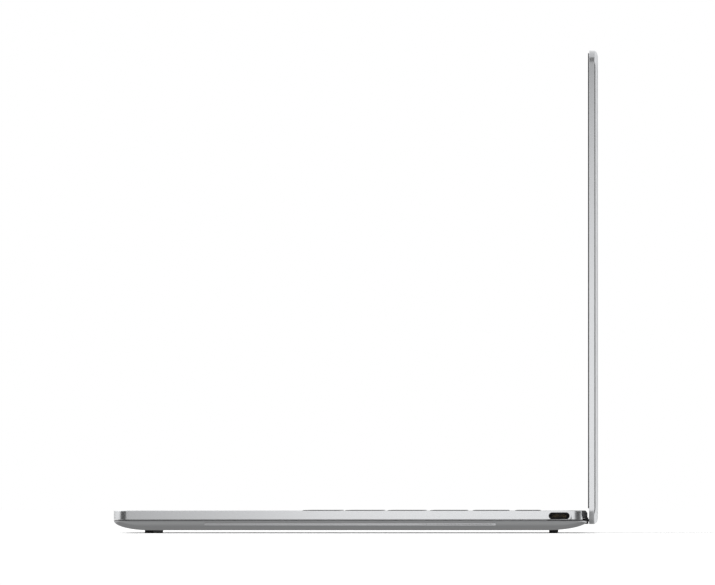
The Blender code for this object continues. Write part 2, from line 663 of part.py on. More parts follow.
def trim_end_edge(clearance):
    """The front edge of the trim's corner end, from the deck down: upright, then curving to the back."""
    top, bottom = DECK_TOP - HINGE_Z, DECK_BOTTOM - HINGE_Z
    bend_top = top - TRIM_END_UPRIGHT
    front = HINGE_SETBACK - TRIM_END_DEPTH - clearance
    run = TRIM_END_DEPTH - TRIM_END_TOE
    curve = arc((0, 0), 1, 0, 90, 6)
    return [(front, top)] + [(front + run * (1 - c), bend_top - (bend_top - bottom) * s) for c, s in curve]


def slot_bar(name, side, width, height, middle, length, finish=None):
    """A slot-shaped bar along X at a port's height, its middle that far out."""
    rounding = height / 2 - 0.01 * MM
    outline = rounded_outline((-width / 2, -height / 2), (width / 2, height / 2), rounding, 6)
    name = f"{name}_{side_name(side)}"
    return outline_solid(name, [outline], length, (side * middle, PORT_Y, PORT_Z), PROFILE, finish)


def make_ports():
    """A socket behind each opening: a metal shell, closed at its inner end, round a contact tongue."""
    mouth = HALF_WIDTH - DECK_WALL - GAP
    middle = mouth - SOCKET_LENGTH / 2
    for side in (-1, 1):
        port = slot_bar("usb_c_port", side, SOCKET_WIDTH, SOCKET_HEIGHT, middle, SOCKET_LENGTH, "steel")
        width, height = SOCKET_WIDTH - 2 * SOCKET_WALL, SOCKET_HEIGHT - 2 * SOCKET_WALL
        combine(port, slot_bar("port_cavity", side, width, height, middle + 2 * SOCKET_WALL, SOCKET_LENGTH))
        root = mouth - SOCKET_LENGTH + SOCKET_WALL
        ends = sorted((side * root, side * (root + TONGUE_LENGTH)))
        half_y, half_z = TONGUE_WIDTH / 2, TONGUE_THICKNESS / 2
        low = (ends[0], PORT_Y - half_y, PORT_Z - half_z)
        high = (ends[1], PORT_Y + half_y, PORT_Z + half_z)
        join(port, box(f"port_tongue_{side_name(side)}", low, high))


def make_rear_trim():
    """The dark strip along the back, cut back so that the lid's lower edge can swing past it."""
    top, bottom = DECK_TOP - HINGE_Z, DECK_BOTTOM - HINGE_Z
    back, wall = HINGE_SETBACK, TRIM_WALL
    ahead = back - TRIM_DEPTH
    swing_start = math.degrees(math.acos(back / TRIM_SWING))
    swing_end = math.degrees(math.asin(top / TRIM_SWING))
    outside = [(back, bottom)] + arc((0, 0), TRIM_SWING, swing_start, swing_end, 5)
    inside = [(ahead, top - wall), (back - wall, top - wall), (back - wall, bottom)]
    strip_length = BODY_WIDTH - 2 * TRIM_FROM_SIDE
    section = outside + [(ahead, top)] + inside
    trim = outline_solid("rear_trim", [section], strip_length, HINGE, PROFILE, "dark_plastic")
    for side in (-1, 1):
        centre = HINGE + Vector((side * (HALF_WIDTH - TRIM_END_LENGTH / 2), 0, 0))
        end = outside + trim_end_edge(0)
        join(trim, outline_solid(f"trim_end_{side_name(side)}", [end], TRIM_END_LENGTH, centre, PROFILE))
    plan_low, plan_high = (-HALF_WIDTH, FRONT, 0), (HALF_WIDTH, REAR, DECK_TOP + MM)
    combine(trim, rounded_box("body_plan", plan_low, plan_high, CORNER_RADIUS), "INTERSECT")
    room = BARREL_RADIUS + 2 * GAP
    combine(trim, boxes("trim_hinge_notches", [hinge_notch(side, room) for side in (-1, 1)]))
    slots = []
    for i in range(VENT_SLOTS):
        x = (i - (VENT_SLOTS - 1) / 2) * VENT_PITCH
        low = (x - VENT_WIDTH / 2, REAR - 2 * wall, HINGE_Z - VENT_HEIGHT / 2)
        slots.append((low, (x + VENT_WIDTH / 2, REAR + wall, HINGE_Z + VENT_HEIGHT / 2)))
    combine(trim, boxes("trim_vents", slots))


def make_feet_and_speakers():
    """Two rubber feet, and on each side a grille in its slot with a speaker box behind it."""
    for name, y in zip(("front_foot", "rear_foot"), FEET_Y):
        rounded_box(name, *foot_corners(y, 0), FOOT_DEPTH / 2 - 0.05 * MM, "rubber", segments=4)
    middle = (GRILLE_ENDS[0] + GRILLE_ENDS[1]) / 2
    outer = HALF_WIDTH - HULL_RUN_SIDE
    for side in (-1, 1):
        box(f"speaker_grille_{side_name(side)}", *grille_corners(side, GAP, GRILLE_DEPTH), "aluminium")
        ends = sorted((side * outer, side * (outer - SPEAKER_WIDTH)))
        low = (ends[0], middle - SPEAKER_LENGTH / 2, FLOOR)
        high = (ends[1], middle + SPEAKER_LENGTH / 2, CEILING)
        rounded_box(f"speaker_{side_name(side)}", low, high, 2 * MM, "dark_plastic", segments=3)


def make_screws():
    """Six flat-headed screws up through the bottom cover, each one turned outline of head and shank."""
    head_low, head_high = SCREW_HEAD_SUNK, SCREW_HEAD_SUNK + SCREW_HEAD_HEIGHT
    tip = SCREW_HEAD_SUNK + SCREW_LENGTH
    profile = (
        (0, tip),
        (SCREW_SHANK_RADIUS, tip),
        (SCREW_SHANK_RADIUS, head_high),
        (SCREW_HEAD_RADIUS, head_high),
        (SCREW_HEAD_RADIUS, head_low),
        (0, head_low),
    )
    for number, (x, y) in enumerate(SCREWS, 1):
        bm = bmesh.new()
        verts = [bm.verts.new((radius, 0, height)) for radius, height in profile]
        for a, b in zip(verts, verts[1:]):
            bm.edges.new((a, b))
        screw = place(f"bottom_screw_{number}", mesh_from(bm, "bottom_screw"), "steel")
        turned = screw.modifiers.new("turned", "SCREW")
        turned.steps = turned.render_steps = 16
        turned.use_merge_vertices = True
        turned.merge_threshold = 0.01 * MM
        screw.location = (x, y, FOOT_HEIGHT)


def make_touchpad():
    """The pad in its window, over a steel tray that hangs from the deck by two flanges."""
    low, high = TOUCHPAD_LOW, TOUCHPAD_HIGH
    pad = box("touchpad", low, high, "pad_glass")
    centre_origin(pad, Vector(((low.x + high.x) / 2, (low.y + high.y) / 2, high.z)))
    top = low.z - TOUCHPAD_TRAVEL - GAP
    edge = TOUCHPAD_BRACKET_EDGE
    tray_low = (low.x - edge, low.y + edge, top - TOUCHPAD_BRACKET)
    tray_high = (high.x + edge, high.y + edge, top)
    bracket = rounded_box("touchpad_bracket", tray_low, tray_high, 2 * MM, "steel", segments=3)
    flanges = []
    for side in (-1, 1):
        ends = sorted((side * (high.x + 2 * GAP), side * (high.x + edge)))
        flange_low = (ends[0], low.y + 3 * edge, top - TOUCHPAD_BRACKET / 2)
        flanges.append((flange_low, (ends[1], high.y - 3 * edge, DECK_CEILING - GAP)))
    join(bracket, boxes("bracket_flanges", flanges))


def make_key_plate():
    """The steel plate that the keys press against, riveted up to the deck's bars between the rows."""
    margin = KEY_PLATE_MARGIN
    half = KEYBOARD_WIDTH / 2 + margin
    low = (-half, KEYBOARD_FRONT - margin, KEY_PLATE_TOP - KEY_PLATE_THICKNESS)
    high = (half, REAR - KEYBOARD_BEHIND + margin, KEY_PLATE_TOP)
    plate = rounded_box("keyboard_plate", low, high, 3 * MM, "steel", segments=3)
    bottom, top = KEY_PLATE_TOP - KEY_PLATE_THICKNESS / 2, DECK_CEILING - GAP
    step = KEYBOARD_WIDTH / RIVET_COLUMNS
    rivets = [
        (
            (column - (RIVET_COLUMNS - 1) / 2) * step,
            KEYBOARD_FRONT + row * KEY_ROW_PITCH - KEY_SPACE / 2,
            (bottom + top) / 2,
        )
        for row in range(1, len(KEY_ROWS))
        for column in range(RIVET_COLUMNS)
    ]
    join(plate, cylinders("plate_rivets", rivets, RIVET_RADIUS, top - bottom, segments=8))


def make_battery():
    """Three flat cells side by side, under the touchpad's tray."""
    tray_bottom = TOUCHPAD_LOW.z - TOUCHPAD_TRAVEL - GAP - TOUCHPAD_BRACKET
    top = min(tray_bottom - GAP, CEILING)
    width = (BODY_WIDTH - 2 * CELL_FROM_SIDE - 2 * CELL_GAP) / 3
    low_y = FRONT + CELL_FROM_FRONT
    for i, name in enumerate(("left", "middle", "right")):
        low_x = -HALF_WIDTH + CELL_FROM_SIDE + i * (width + CELL_GAP)
        high = (low_x + width, BOARD_FRONT - CELL_GAP, top)
        low = (low_x, low_y, FLOOR + GAP)
        rounded_box(f"battery_cell_{name}", low, high, 2.5 * MM, "cell_wrap", segments=3)


def board_box(place_on_board, size, gap):
    """A box hung under the board, from a corner given from the board's front left corner."""
    x, y = BOARD_LEFT + place_on_board[0], BOARD_FRONT + place_on_board[1]
    low = Vector((x, y, BOARD_BOTTOM - gap - size[2]))
    return low, low + Vector(size)


def soldered_parts():
    """The boxes of the memory chips, coils and plugs, each sunk a little into the board."""
    parts = [(MEMORY_PLACE + Vector((i * 1.4 * MEMORY_SIZE.x, 0)), MEMORY_SIZE) for i in range(MEMORY_CHIPS)]
    parts += [(COIL_PLACE + Vector((0, i * 1.4 * COIL_SIZE.y)), COIL_SIZE) for i in range(COILS)]
    parts += [(Vector(sizes[:2]) * MM, Vector(sizes[2:]) * MM) for sizes in PLUG_SIZES]
    found = []
    for spot, size in parts:
        low, high = board_box(spot, size, 0)
        found.append((low, high + Vector((0, 0, BOARD_THICKNESS / 2))))
    return found


def make_board():
    """The main board with what is soldered to its underside, and the three cards and chips hung on it."""
    right = FAN.x - FAN_SIZE / 2 - BOARD_FROM_FAN
    step = right - 1.5 * BOARD_STEP
    plan = [
        (BOARD_LEFT, BOARD_FRONT),
        (right, BOARD_FRONT),
        (right, BOARD_REAR - BOARD_STEP),
        (step, BOARD_REAR - BOARD_STEP),
        (step, BOARD_REAR),
        (BOARD_LEFT, BOARD_REAR),
    ]
    middle = (0, 0, BOARD_BOTTOM + BOARD_THICKNESS / 2)
    board = outline_solid("mainboard", [plan], BOARD_THICKNESS, middle, FLAT, "board_green")
    join(board, boxes("board_parts", soldered_parts()))
    chip_low, chip_high = board_box(PROCESSOR_PLACE, PROCESSOR_SIZE, GAP)
    box("processor", chip_low, chip_high, "dark_plastic")
    box("solid_state_drive", *board_box(DRIVE_PLACE, DRIVE_SIZE, GAP), "dark_plastic")
    box("wireless_card", *board_box(RADIO_PLACE, RADIO_SIZE, GAP), "steel")
    make_cooling(chip_low, (chip_low.y + chip_high.y) / 2)


def make_cooling(chip_low, start_y):
    """A flat heat pipe from the processor to the fins behind the fan."""
    low, high = FLOOR + GAP, chip_low.z - GAP
    sink_front = FAN.y + FAN_SIZE / 2 + GAP
    pipe_end_y = sink_front + SINK_DEPTH / 2
    half = PIPE_WIDTH / 2
    corner_x = FAN.x - FAN_SIZE / 2 - MM - half
    bend_centre = (corner_x - PIPE_BEND, start_y + PIPE_BEND)
    end_x = FAN.x + FAN_SIZE / 2 - SINK_INSET
    path = [(chip_low.x, start_y - half)] + arc(bend_centre, PIPE_BEND + half, -90, 0, 6)
    path += [(corner_x + half, pipe_end_y - half), (end_x, pipe_end_y - half)]
    path += [(end_x, pipe_end_y + half), (corner_x - half, pipe_end_y + half)]
    path += arc(bend_centre, PIPE_BEND - half, 0, -90, 6) + [(chip_low.x, start_y + half)]
    outline_solid("heat_pipe", [path], high - low, (0, 0, (low + high) / 2), FLAT, "copper")
    make_fins(sink_front, high + GAP)


def make_fins(front, bottom):
    """The stack of cooling fins over the pipe's end: a comb of upright plates on one base."""
    width = FAN_SIZE - 2 * SINK_INSET
    pitch = (width - SINK_FIN) / (SINK_FINS - 1)
    left = FAN.x - width / 2
    comb = [(left, bottom), (left + width, bottom)]
    for i in reversed(range(SINK_FINS)):
        x = left + i * pitch
        comb += [(x + SINK_FIN, CEILING), (x, CEILING)]
        if i:
            comb += [(x, bottom + SINK_BASE), (x - pitch + SINK_FIN, bottom + SINK_BASE)]
    outline_solid("heat_sink", [comb], SINK_DEPTH, (0, front + SINK_DEPTH / 2, 0), UPRIGHT, "copper")


def make_fan():
    """A flat blower: a housing open below and behind, and a bladed rotor that hangs on its pin."""
    half = FAN_SIZE / 2
    low, high = (FAN.x - half, FAN.y - half, FLOOR), (FAN.x + half, FAN.y + half, CEILING)
    housing = rounded_box("fan_housing", low, high, FAN_CORNER, "dark_plastic", segments=3)
    room_low, room_high = FLOOR + FAN_WALL, CEILING - FAN_WALL
    height = room_high - room_low
    room_middle = (FAN.x, FAN.y, (room_low + room_high) / 2)
    combine(housing, cylinders("fan_room", [room_middle], FAN_RADIUS + MM, height, segments=36))
    outlet = half - FAN_CORNER
    outlet_low = (FAN.x - outlet, FAN.y, room_low)
    combine(housing, box("fan_outlet", outlet_low, (FAN.x + outlet, FAN.y + half + MM, room_high)))
    combine(housing, cylinders("fan_inlet", [(FAN.x, FAN.y, FLOOR)], FAN_INLET_RADIUS, 2 * MM, segments=24))
    pin_height = height - 2 * GAP
    pin_middle = (FAN.x, FAN.y, room_high + FAN_WALL / 2 - pin_height / 2)
    join(housing, cylinders("fan_pin", [pin_middle], FAN_PIN_RADIUS, pin_height, segments=16))
    outline = []
    for i in range(FAN_BLADES):
        angle = 2 * math.pi * i / FAN_BLADES
        outline += blade_corners(angle)
    bore = arc((0, 0), FAN_PIN_RADIUS + FAN_BORE_CLEARANCE, 360, 22.5, 15)
    blade_low, blade_high = room_low + 2 * GAP, room_high - GAP
    centre = (FAN.x, FAN.y, (blade_low + blade_high) / 2)
    outline_solid("fan_rotor", [outline, bore], blade_high - blade_low, centre, FLAT, "dark_plastic")


def blade_corners(angle):
    """One blade's four corners: root, swept tip, tip, root."""
    root, tip = FAN_BLADE / 2 / FAN_HUB_RADIUS, FAN_BLADE / 2 / FAN_RADIUS
    swept = angle - math.radians(FAN_SWEEP)
    turns = ((FAN_HUB_RADIUS, angle - root), (FAN_RADIUS, swept - tip))
    turns += ((FAN_RADIUS, swept + tip), (FAN_HUB_RADIUS, angle + root))
    return [(radius * math.cos(turn), radius * math.sin(turn)) for radius, turn in turns]


def lid_ring(turn):
    """One ring of the lid's outside: 0 where the rounded edge starts, 1 on the flat back."""
    angle = turn * math.pi / 2
    run = LID_EDGE_RUN * (1 - math.cos(angle))
    low = (-HALF_WIDTH + run, HINGE_Z - LID_DROP + run)
    high = (HALF_WIDTH - run, HINGE_Z + LID_TOP - run)
    y = HINGE_Y + LID_BACK - LID_EDGE_DEPTH * (1 - math.sin(angle))
    return [(x, y, z) for x, z in rounded_outline(low, high, CORNER_RADIUS)]


def upright_box(name, half_width, near, far, low, high, radius=None, finish=None):
    """A box in the lid. Near and far are distances behind the hinge axis, low and high heights over it."""
    corners = (-half_width, HINGE_Y + near, HINGE_Z + low), (half_width, HINGE_Y + far, HINGE_Z + high)
    if radius:
        return rounded_box(name, *corners, radius, finish, axis=1)
    return box(name, *corners, finish)


def make_lid_shell():
    """The lid's metal shell: a flat tray with a rounded back edge, rebated for the glass."""
    front_ring = [(x, HINGE_Y + RIM_FACE, z) for x, y, z in lid_ring(0)]
    bm = bmesh.new()
    rings = loft(bm, [front_ring] + [lid_ring(i / LID_EDGE_LEVELS) for i in range(LID_EDGE_LEVELS + 1)])
    bm.faces.new(rings[-1])
    bm.faces.new(list(reversed(rings[0])))
    bmesh.ops.recalc_face_normals(bm, faces=bm.faces)
    shell = place("lid_shell", mesh_from(bm, "lid_shell"), "aluminium")
    edge = GLASS_INSET - GAP
    rebate = (HALF_WIDTH - edge, RIM_FACE - MM, PANEL_FRONT, GLASS_BOTTOM - GAP, LID_TOP - edge)
    combine(shell, upright_box("glass_rebate", *rebate, CORNER_RADIUS - edge))
    half = HALF_WIDTH - PANEL_SIDE + GAP
    room = (half, RIM_FACE, POCKET_FLOOR, PANEL_BOTTOM - GAP, LID_TOP - PANEL_SIDE)
    combine(shell, upright_box("panel_pocket", *room))
    leaf_floor = POCKET_FLOOR - GAP
    web_half = arm_half_width() + GAP
    low = HINGE_Z + ARM_WEB_TOP - ARM_WEB - GAP
    for side in (-1, 1):
        left, right = side * HINGE_OFFSET - web_half, side * HINGE_OFFSET + web_half
        slot_front = HINGE_Y + RIM_FACE - MM
        slot = ((left, slot_front, low), (right, HINGE_Y + leaf_floor, HINGE_Z + ARM_WEB_TOP + GAP))
        leaf_front = HINGE_Y + leaf_floor - ARM_LEAF - 2 * GAP
        pocket = ((left, leaf_front, low), (right, HINGE_Y + leaf_floor, HINGE_Z + PANEL_BOTTOM))
        combine(shell, box(f"web_slot_{side_name(side)}", *slot))
        combine(shell, box(f"leaf_pocket_{side_name(side)}", *pocket))


def make_display():
    """Gasket, cover glass, panel and camera, front to back."""
    back = PANEL_FRONT - GAP
    rims = []
    for inset in (GLASS_INSET, GLASS_INSET + GASKET_WIDTH):
        low = (-HALF_WIDTH + inset, HINGE_Z + GLASS_BOTTOM + inset - GLASS_INSET)
        high = (HALF_WIDTH - inset, HINGE_Z + LID_TOP - inset)
        rims.append(rounded_outline(low, high, CORNER_RADIUS - inset))
    middle = (0, HINGE_Y + (GASKET_FACE + back) / 2, 0)
    outline_solid("glass_gasket", rims, back - GASKET_FACE, middle, UPRIGHT, "rubber")
    edge = GLASS_INSET + GASKET_WIDTH + GAP
    low = GLASS_BOTTOM + GASKET_WIDTH + GAP
    glass = (HALF_WIDTH - edge, RIM_FACE - GLASS_PROUD, back, low, LID_TOP - edge)
    upright_box("cover_glass", *glass, CORNER_RADIUS - edge, "glass")
    panel = (HALF_WIDTH - PANEL_SIDE, PANEL_FRONT, POCKET_FLOOR - GAP, PANEL_BOTTOM, PANEL_TOP)
    upright_box("display_panel", *panel, finish="dark_plastic")
    camera_low = PANEL_TOP + GAP
    camera = (CAMERA_WIDTH / 2, PANEL_FRONT, POCKET_FLOOR - GAP, camera_low, camera_low + CAMERA_HEIGHT)
    upright_box("camera_module", *camera, finish="board_green")


def cover_width():
    """The barrel cover fills the space between a hinge's two knuckles."""
    return HINGE_WIDTH - 2 * KNUCKLE_WIDTH - 2 * GAP


def arm_half_width():
    return cover_width() / 2 - ARM_INSET


def make_hinges():
    """Per side: a bracket on the base, an arm with the shaft on the lid, and a barrel cover on the lid."""
    web_low = ARM_WEB_TOP - ARM_WEB
    leaf_back = POCKET_FLOOR - 2 * GAP
    elbow = [(0, web_low), (leaf_back, web_low), (leaf_back, ARM_LEAF_TOP)]
    elbow += [(leaf_back - ARM_LEAF, ARM_LEAF_TOP), (leaf_back - ARM_LEAF, ARM_WEB_TOP), (0, ARM_WEB_TOP)]
    cover_top = -GAP
    start = math.degrees(math.asin(cover_top / BARREL_RADIUS))
    shell = arc((0, 0), BARREL_RADIUS, start, 250, 16)
    shell += [(COVER_FOOT, -LID_DROP), (RIM_FACE - GAP, -LID_DROP), (RIM_FACE - GAP, cover_top)]
    for side in (-1, 1):
        name = side_name(side)
        axis = Vector((side * HINGE_OFFSET, HINGE_Y, HINGE_Z))
        shaft_length = HINGE_WIDTH - 2 * GAP
        arm = cylinders(f"hinge_arm_{name}", [axis], SHAFT_RADIUS, shaft_length, "X", "steel", 24)
        leaf = outline_solid(f"hinge_leaf_{name}", [elbow], 2 * arm_half_width(), axis, PROFILE)
        join(arm, leaf)
        cover = outline_solid(f"hinge_cover_{name}", [shell], cover_width(), axis, PROFILE, "dark_plastic")
        combine(cover, cylinders(f"cover_bore_{name}", [axis], COVER_BORE, 2 * HINGE_WIDTH, "X", None, 24))
        room = arm_half_width() + GAP
        slot_low = (axis.x - room, HINGE_Y, HINGE_Z + web_low - GAP)
        slot_high = (axis.x + room, HINGE_Y + LID_BACK, HINGE_Z + ARM_WEB_TOP + GAP)
        combine(cover, box(f"cover_slot_{name}", slot_low, slot_high))
        make_hinge_bracket(f"hinge_bracket_{name}", axis)


def make_hinge_bracket(name, axis):
    """Two knuckles round the shaft's ends, on one plate that runs forward inside the base."""
    low_z = HINGE_Z - BARREL_RADIUS
    top_z = low_z + BRACKET_PLATE
    half = HINGE_WIDTH / 2 - GAP
    front = HINGE_Y - BARREL_RADIUS - 2 * GAP
    plate = box(name, (axis.x - half, front - BRACKET_REACH, low_z), (axis.x + half, front, top_z), "steel")
    middle = HINGE_WIDTH / 2 - KNUCKLE_WIDTH / 2
    middles = [axis + Vector((end * middle, 0, 0)) for end in (-1, 1)]
    width = KNUCKLE_WIDTH - 2 * GAP
    join(plate, cylinders(name + "_knuckles", middles, BARREL_RADIUS, width, "X", None, 24))
    tabs = []
    for spot in middles:
        tab_low = (spot.x - width / 2, front - MM, low_z)
        tabs.append((tab_low, (spot.x + width / 2, HINGE_Y - BARREL_RADIUS / 4, top_z)))
    join(plate, boxes(name + "_tabs", tabs))
    combine(plate, cylinders(name + "_bore", [axis], SHAFT_BORE, 2 * HINGE_WIDTH, "X", None, 24))


def hang_on_axis(name, point, pieces):
    """Parents the pieces to an empty on their joint's axis and leaves them where they are."""
    axis = bpy.data.objects.new(name, None)
    LAPTOP.objects.link(axis)
    axis.location = point
    for piece in pieces:
        bpy.data.objects[piece].parent = axis
        bpy.data.objects[piece].matrix_parent_inverse = Matrix.Translation(-Vector(point))


def smooth_round_pieces():
    """Shades the curved pieces smooth and keeps their edges sharp."""
    round_pieces = ["bottom_cover", "lid_shell", "deck", "rear_trim", "front_foot", "rear_foot"]
    round_pieces.append("glass_gasket")
    hinge_parts = ("cover", "arm", "bracket")
    round_pieces += [f"hinge_{part}_{side_name(side)}" for part in hinge_parts for side in (-1, 1)]
    for name in round_pieces:
        mesh = bpy.data.objects[name].data
        mesh.shade_smooth()
        mesh.set_sharp_from_angle(angle=math.radians(30))


def main():
    caps = make_keys()
    make_deck(caps)
    make_bottom_cover()
    make_rear_trim()
    make_feet_and_speakers()
    make_screws()
    make_ports()
    make_touchpad()
    make_key_plate()
    make_battery()
    make_board()
    make_fan()
    make_lid_shell()
    make_display()
    make_hinges()
    smooth_round_pieces()
    lid = ["lid_shell", "glass_gasket", "cover_glass", "display_panel", "camera_module"]
    lid += [f"hinge_{part}_{side_name(side)}" for part in ("arm", "cover") for side in (-1, 1)]
    hang_on_axis("lid_axis", HINGE, lid)


main()
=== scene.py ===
import json
import math

import bmesh
import bpy
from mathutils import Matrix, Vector

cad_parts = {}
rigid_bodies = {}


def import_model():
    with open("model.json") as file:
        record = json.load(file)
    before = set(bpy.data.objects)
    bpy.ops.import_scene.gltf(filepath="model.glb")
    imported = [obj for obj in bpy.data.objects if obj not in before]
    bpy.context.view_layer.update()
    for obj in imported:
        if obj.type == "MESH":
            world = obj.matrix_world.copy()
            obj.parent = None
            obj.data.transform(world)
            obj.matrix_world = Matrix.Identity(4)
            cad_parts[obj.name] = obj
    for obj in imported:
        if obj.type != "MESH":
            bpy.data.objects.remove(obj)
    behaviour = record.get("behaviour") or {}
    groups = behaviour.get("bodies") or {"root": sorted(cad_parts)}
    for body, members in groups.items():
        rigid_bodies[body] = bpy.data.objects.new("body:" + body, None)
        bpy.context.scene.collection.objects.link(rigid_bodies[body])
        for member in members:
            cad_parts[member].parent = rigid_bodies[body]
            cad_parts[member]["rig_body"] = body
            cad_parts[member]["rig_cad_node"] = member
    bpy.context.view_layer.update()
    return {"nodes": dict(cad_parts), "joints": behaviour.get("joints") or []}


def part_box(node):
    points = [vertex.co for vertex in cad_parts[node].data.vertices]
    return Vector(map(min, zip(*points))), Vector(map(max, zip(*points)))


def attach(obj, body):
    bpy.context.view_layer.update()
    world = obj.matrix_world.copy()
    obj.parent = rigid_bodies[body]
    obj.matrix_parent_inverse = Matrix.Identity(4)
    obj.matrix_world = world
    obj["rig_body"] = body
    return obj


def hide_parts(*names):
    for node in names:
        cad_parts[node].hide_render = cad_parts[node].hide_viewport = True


mm = 0.001

for thing in list(bpy.data.objects):
    bpy.data.objects.remove(thing)

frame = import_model()
nodes = frame["nodes"]


# ---- picking and shaping ----

def onlySelect(obj):
    bpy.ops.object.select_all(action="DESELECT")
    obj.select_set(True)
    bpy.context.view_layer.objects.active = obj


# leaves the object in edit mode with what passes the test selected
def pick(obj, kind, test):
    onlySelect(obj)
    bpy.ops.object.mode_set(mode="EDIT")
    bpy.ops.mesh.select_mode(type=kind)
    bpy.ops.mesh.select_all(action="DESELECT")
    grid = bmesh.from_edit_mesh(obj.data)
    for part in {"VERT": grid.verts, "EDGE": grid.edges, "FACE": grid.faces}[kind]:
        if test(part):
            part.select_set(True)
    bmesh.update_edit_mesh(obj.data)


def pickAll(obj):
    onlySelect(obj)
    bpy.ops.object.mode_set(mode="EDIT")
    bpy.ops.mesh.select_all(action="SELECT")


def closeMesh():
    bpy.ops.object.mode_set(mode="OBJECT")


def runsAlong(edge, axis):
    line = edge.verts[0].co - edge.verts[1].co
    return abs(line.normalized()[axis]) > 0.9


def edgeAt(edge, axis, place, reach=0.02 * mm):
    return all(abs(v.co[axis] - place) < reach for v in edge.verts)


def faceLooks(face, direction, share=0.95):
    return face.normal.dot(Vector(direction)) > share


def roundEdges(obj, test, width, steps=3):
    pick(obj, "EDGE", test)
    bpy.ops.mesh.bevel(offset=width, segments=steps, profile=0.5, affect="EDGES")
    closeMesh()


# rounds the edges that lie at one place along an axis
def roundRim(obj, axis, place, width, steps=3):
    roundEdges(obj, lambda e: edgeAt(e, axis, place), width, steps)


# an operator's new object, alone selected
def added(name, operator, **settings):
    bpy.ops.object.select_all(action="DESELECT")
    operator(**settings)
    bpy.context.object.name = name
    return bpy.context.object


def block(name, low, high):
    low, high = Vector(low), Vector(high)
    obj = added(name, bpy.ops.mesh.primitive_cube_add, size=1, location=(low + high) / 2, scale=high - low)
    bpy.ops.object.transform_apply()
    return obj


# a block whose four edges along one axis are rounded
def softBlock(name, low, high, radius, axis=2, steps=10):
    obj = block(name, low, high)
    roundEdges(obj, lambda e: runsAlong(e, axis), radius, steps)
    return obj


def drum(name, centre, radius, length, turn=(0, 0, 0), sides=32):
    sizes = {"vertices": sides, "radius": radius, "depth": length, "location": centre, "rotation": turn}
    obj = added(name, bpy.ops.mesh.primitive_cylinder_add, **sizes)
    bpy.ops.object.transform_apply()
    return obj


# a drum at each spot in X and Y between two heights
def drums(spots, radius, bottom, top, sides=32):
    middle, length = (top + bottom) / 2, top - bottom
    return joinAll("drums", [drum("drum", (x, y, middle), radius, length, sides=sides) for x, y in spots])


# rings of points, each pulled out of the one before, closed at both ends
def pulledRings(name, rings):
    count = len(rings[0])
    obj = added(name, bpy.ops.mesh.primitive_circle_add, vertices=count, radius=1, fill_type="NGON")
    for vert, point in zip(obj.data.vertices, rings[0]):
        vert.co = point
    pickAll(obj)
    for near, far in zip(rings, rings[1:]):
        bpy.ops.mesh.extrude_region_move()
        grid = bmesh.from_edit_mesh(obj.data)
        spots = {tuple(round(c, 7) for c in point): i for i, point in enumerate(near)}
        for vert in [v for v in grid.verts if v.select]:
            i = spots.get(tuple(round(c, 7) for c in vert.co))
            if i is None:
                i = min(range(count), key=lambda k: (vert.co - Vector(near[k])).length)
            vert.co = far[i]
        bmesh.update_edit_mesh(obj.data)
    bpy.ops.mesh.select_all(action="SELECT")
    bpy.ops.mesh.normals_make_consistent(inside=False)
    closeMesh()
    return obj


def arcPoints(centre, radius, start, end, steps):
    turns = [math.radians(start + (end - start) * i / steps) for i in range(steps + 1)]
    return [(centre[0] + radius * math.cos(t), centre[1] + radius * math.sin(t)) for t in turns]


# round the four corners of a rectangle, from high X and low Y
def roundedPath(low, high, radius, steps=14):
    (lowX, lowY), (highX, highY) = (c + radius for c in low), (c - radius for c in high)
    corners = ((highX, lowY), (highX, highY), (lowX, highY), (lowX, lowY))
    return [p for i, c in enumerate(corners) for p in arcPoints(c, radius, 90 * i - 90, 90 * i, steps)]


# a bar along X whose section is given as points in Y and Z
def sectionBar(name, section, fromX, toX):
    return pulledRings(name, [[(x, y, z) for y, z in section] for x in (fromX, toX)])


def applied(obj, kind, **settings):
    onlySelect(obj)
    modifier = obj.modifiers.new("shaping", kind)
    for key, value in settings.items():
        setattr(modifier, key, value)
    bpy.ops.object.modifier_apply(modifier=modifier.name)


def carve(obj, cutter, operation="DIFFERENCE"):
    applied(obj, "BOOLEAN", object=cutter, operation=operation, solver="EXACT")
    bpy.data.objects.remove(cutter)


def joinAll(name, parts):
    bpy.ops.object.select_all(action="DESELECT")
    for part in parts:
        part.select_set(True)
    bpy.context.view_layer.objects.active = parts[0]
    if len(parts) > 1:
        bpy.ops.object.join()
    parts[0].name = name
    return parts[0]


def twin(obj, shift=(0, 0, 0)):
    onlySelect(obj)
    bpy.ops.object.duplicate()
    made = bpy.context.object
    made.location = shift
    bpy.ops.object.transform_apply()
    return made


# moves both halves of a shape apart along one axis, so that its corners keep their roundness
def spread(obj, axis, extra):
    for sign in (-1, 1):
        pick(obj, "VERT", lambda v: v.co[axis] * sign > 0)
        shift = [0, 0, 0]
        shift[axis] = sign * extra / 2
        bpy.ops.transform.translate(value=shift)
        closeMesh()


def mergeNear(obj, reach=0.002 * mm):
    pickAll(obj)
    bpy.ops.mesh.remove_doubles(threshold=reach)
    closeMesh()


def smoothOver(obj, degrees=35):
    onlySelect(obj)
    bpy.ops.object.shade_smooth_by_angle(angle=math.radians(degrees), keep_sharp_edges=True)


def paint(obj, *materials):
    obj.data.materials.clear()
    for material in materials:
        obj.data.materials.append(material)


def fit(obj, body, stoodFor):
    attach(obj, body)
    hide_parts(stoodFor)


# cleans a shape up, finishes it and lets it stand for its CAD node;
# weighted normals keep flat walls flat beside their eased edges
def complete(obj, material, body, stoodFor, degrees=35, level=True):
    mergeNear(obj)
    smoothOver(obj, degrees)
    if level:
        applied(obj, "WEIGHTED_NORMAL", keep_sharp=True)
    paint(obj, material)
    fit(obj, body, stoodFor)


# a second finish on the faces that lie square to an axis
def paintFlats(obj, material, axis, least=0.7):
    obj.data.materials.append(material)
    for face in obj.data.polygons:
        face.material_index = int(abs(face.normal[axis]) > least)


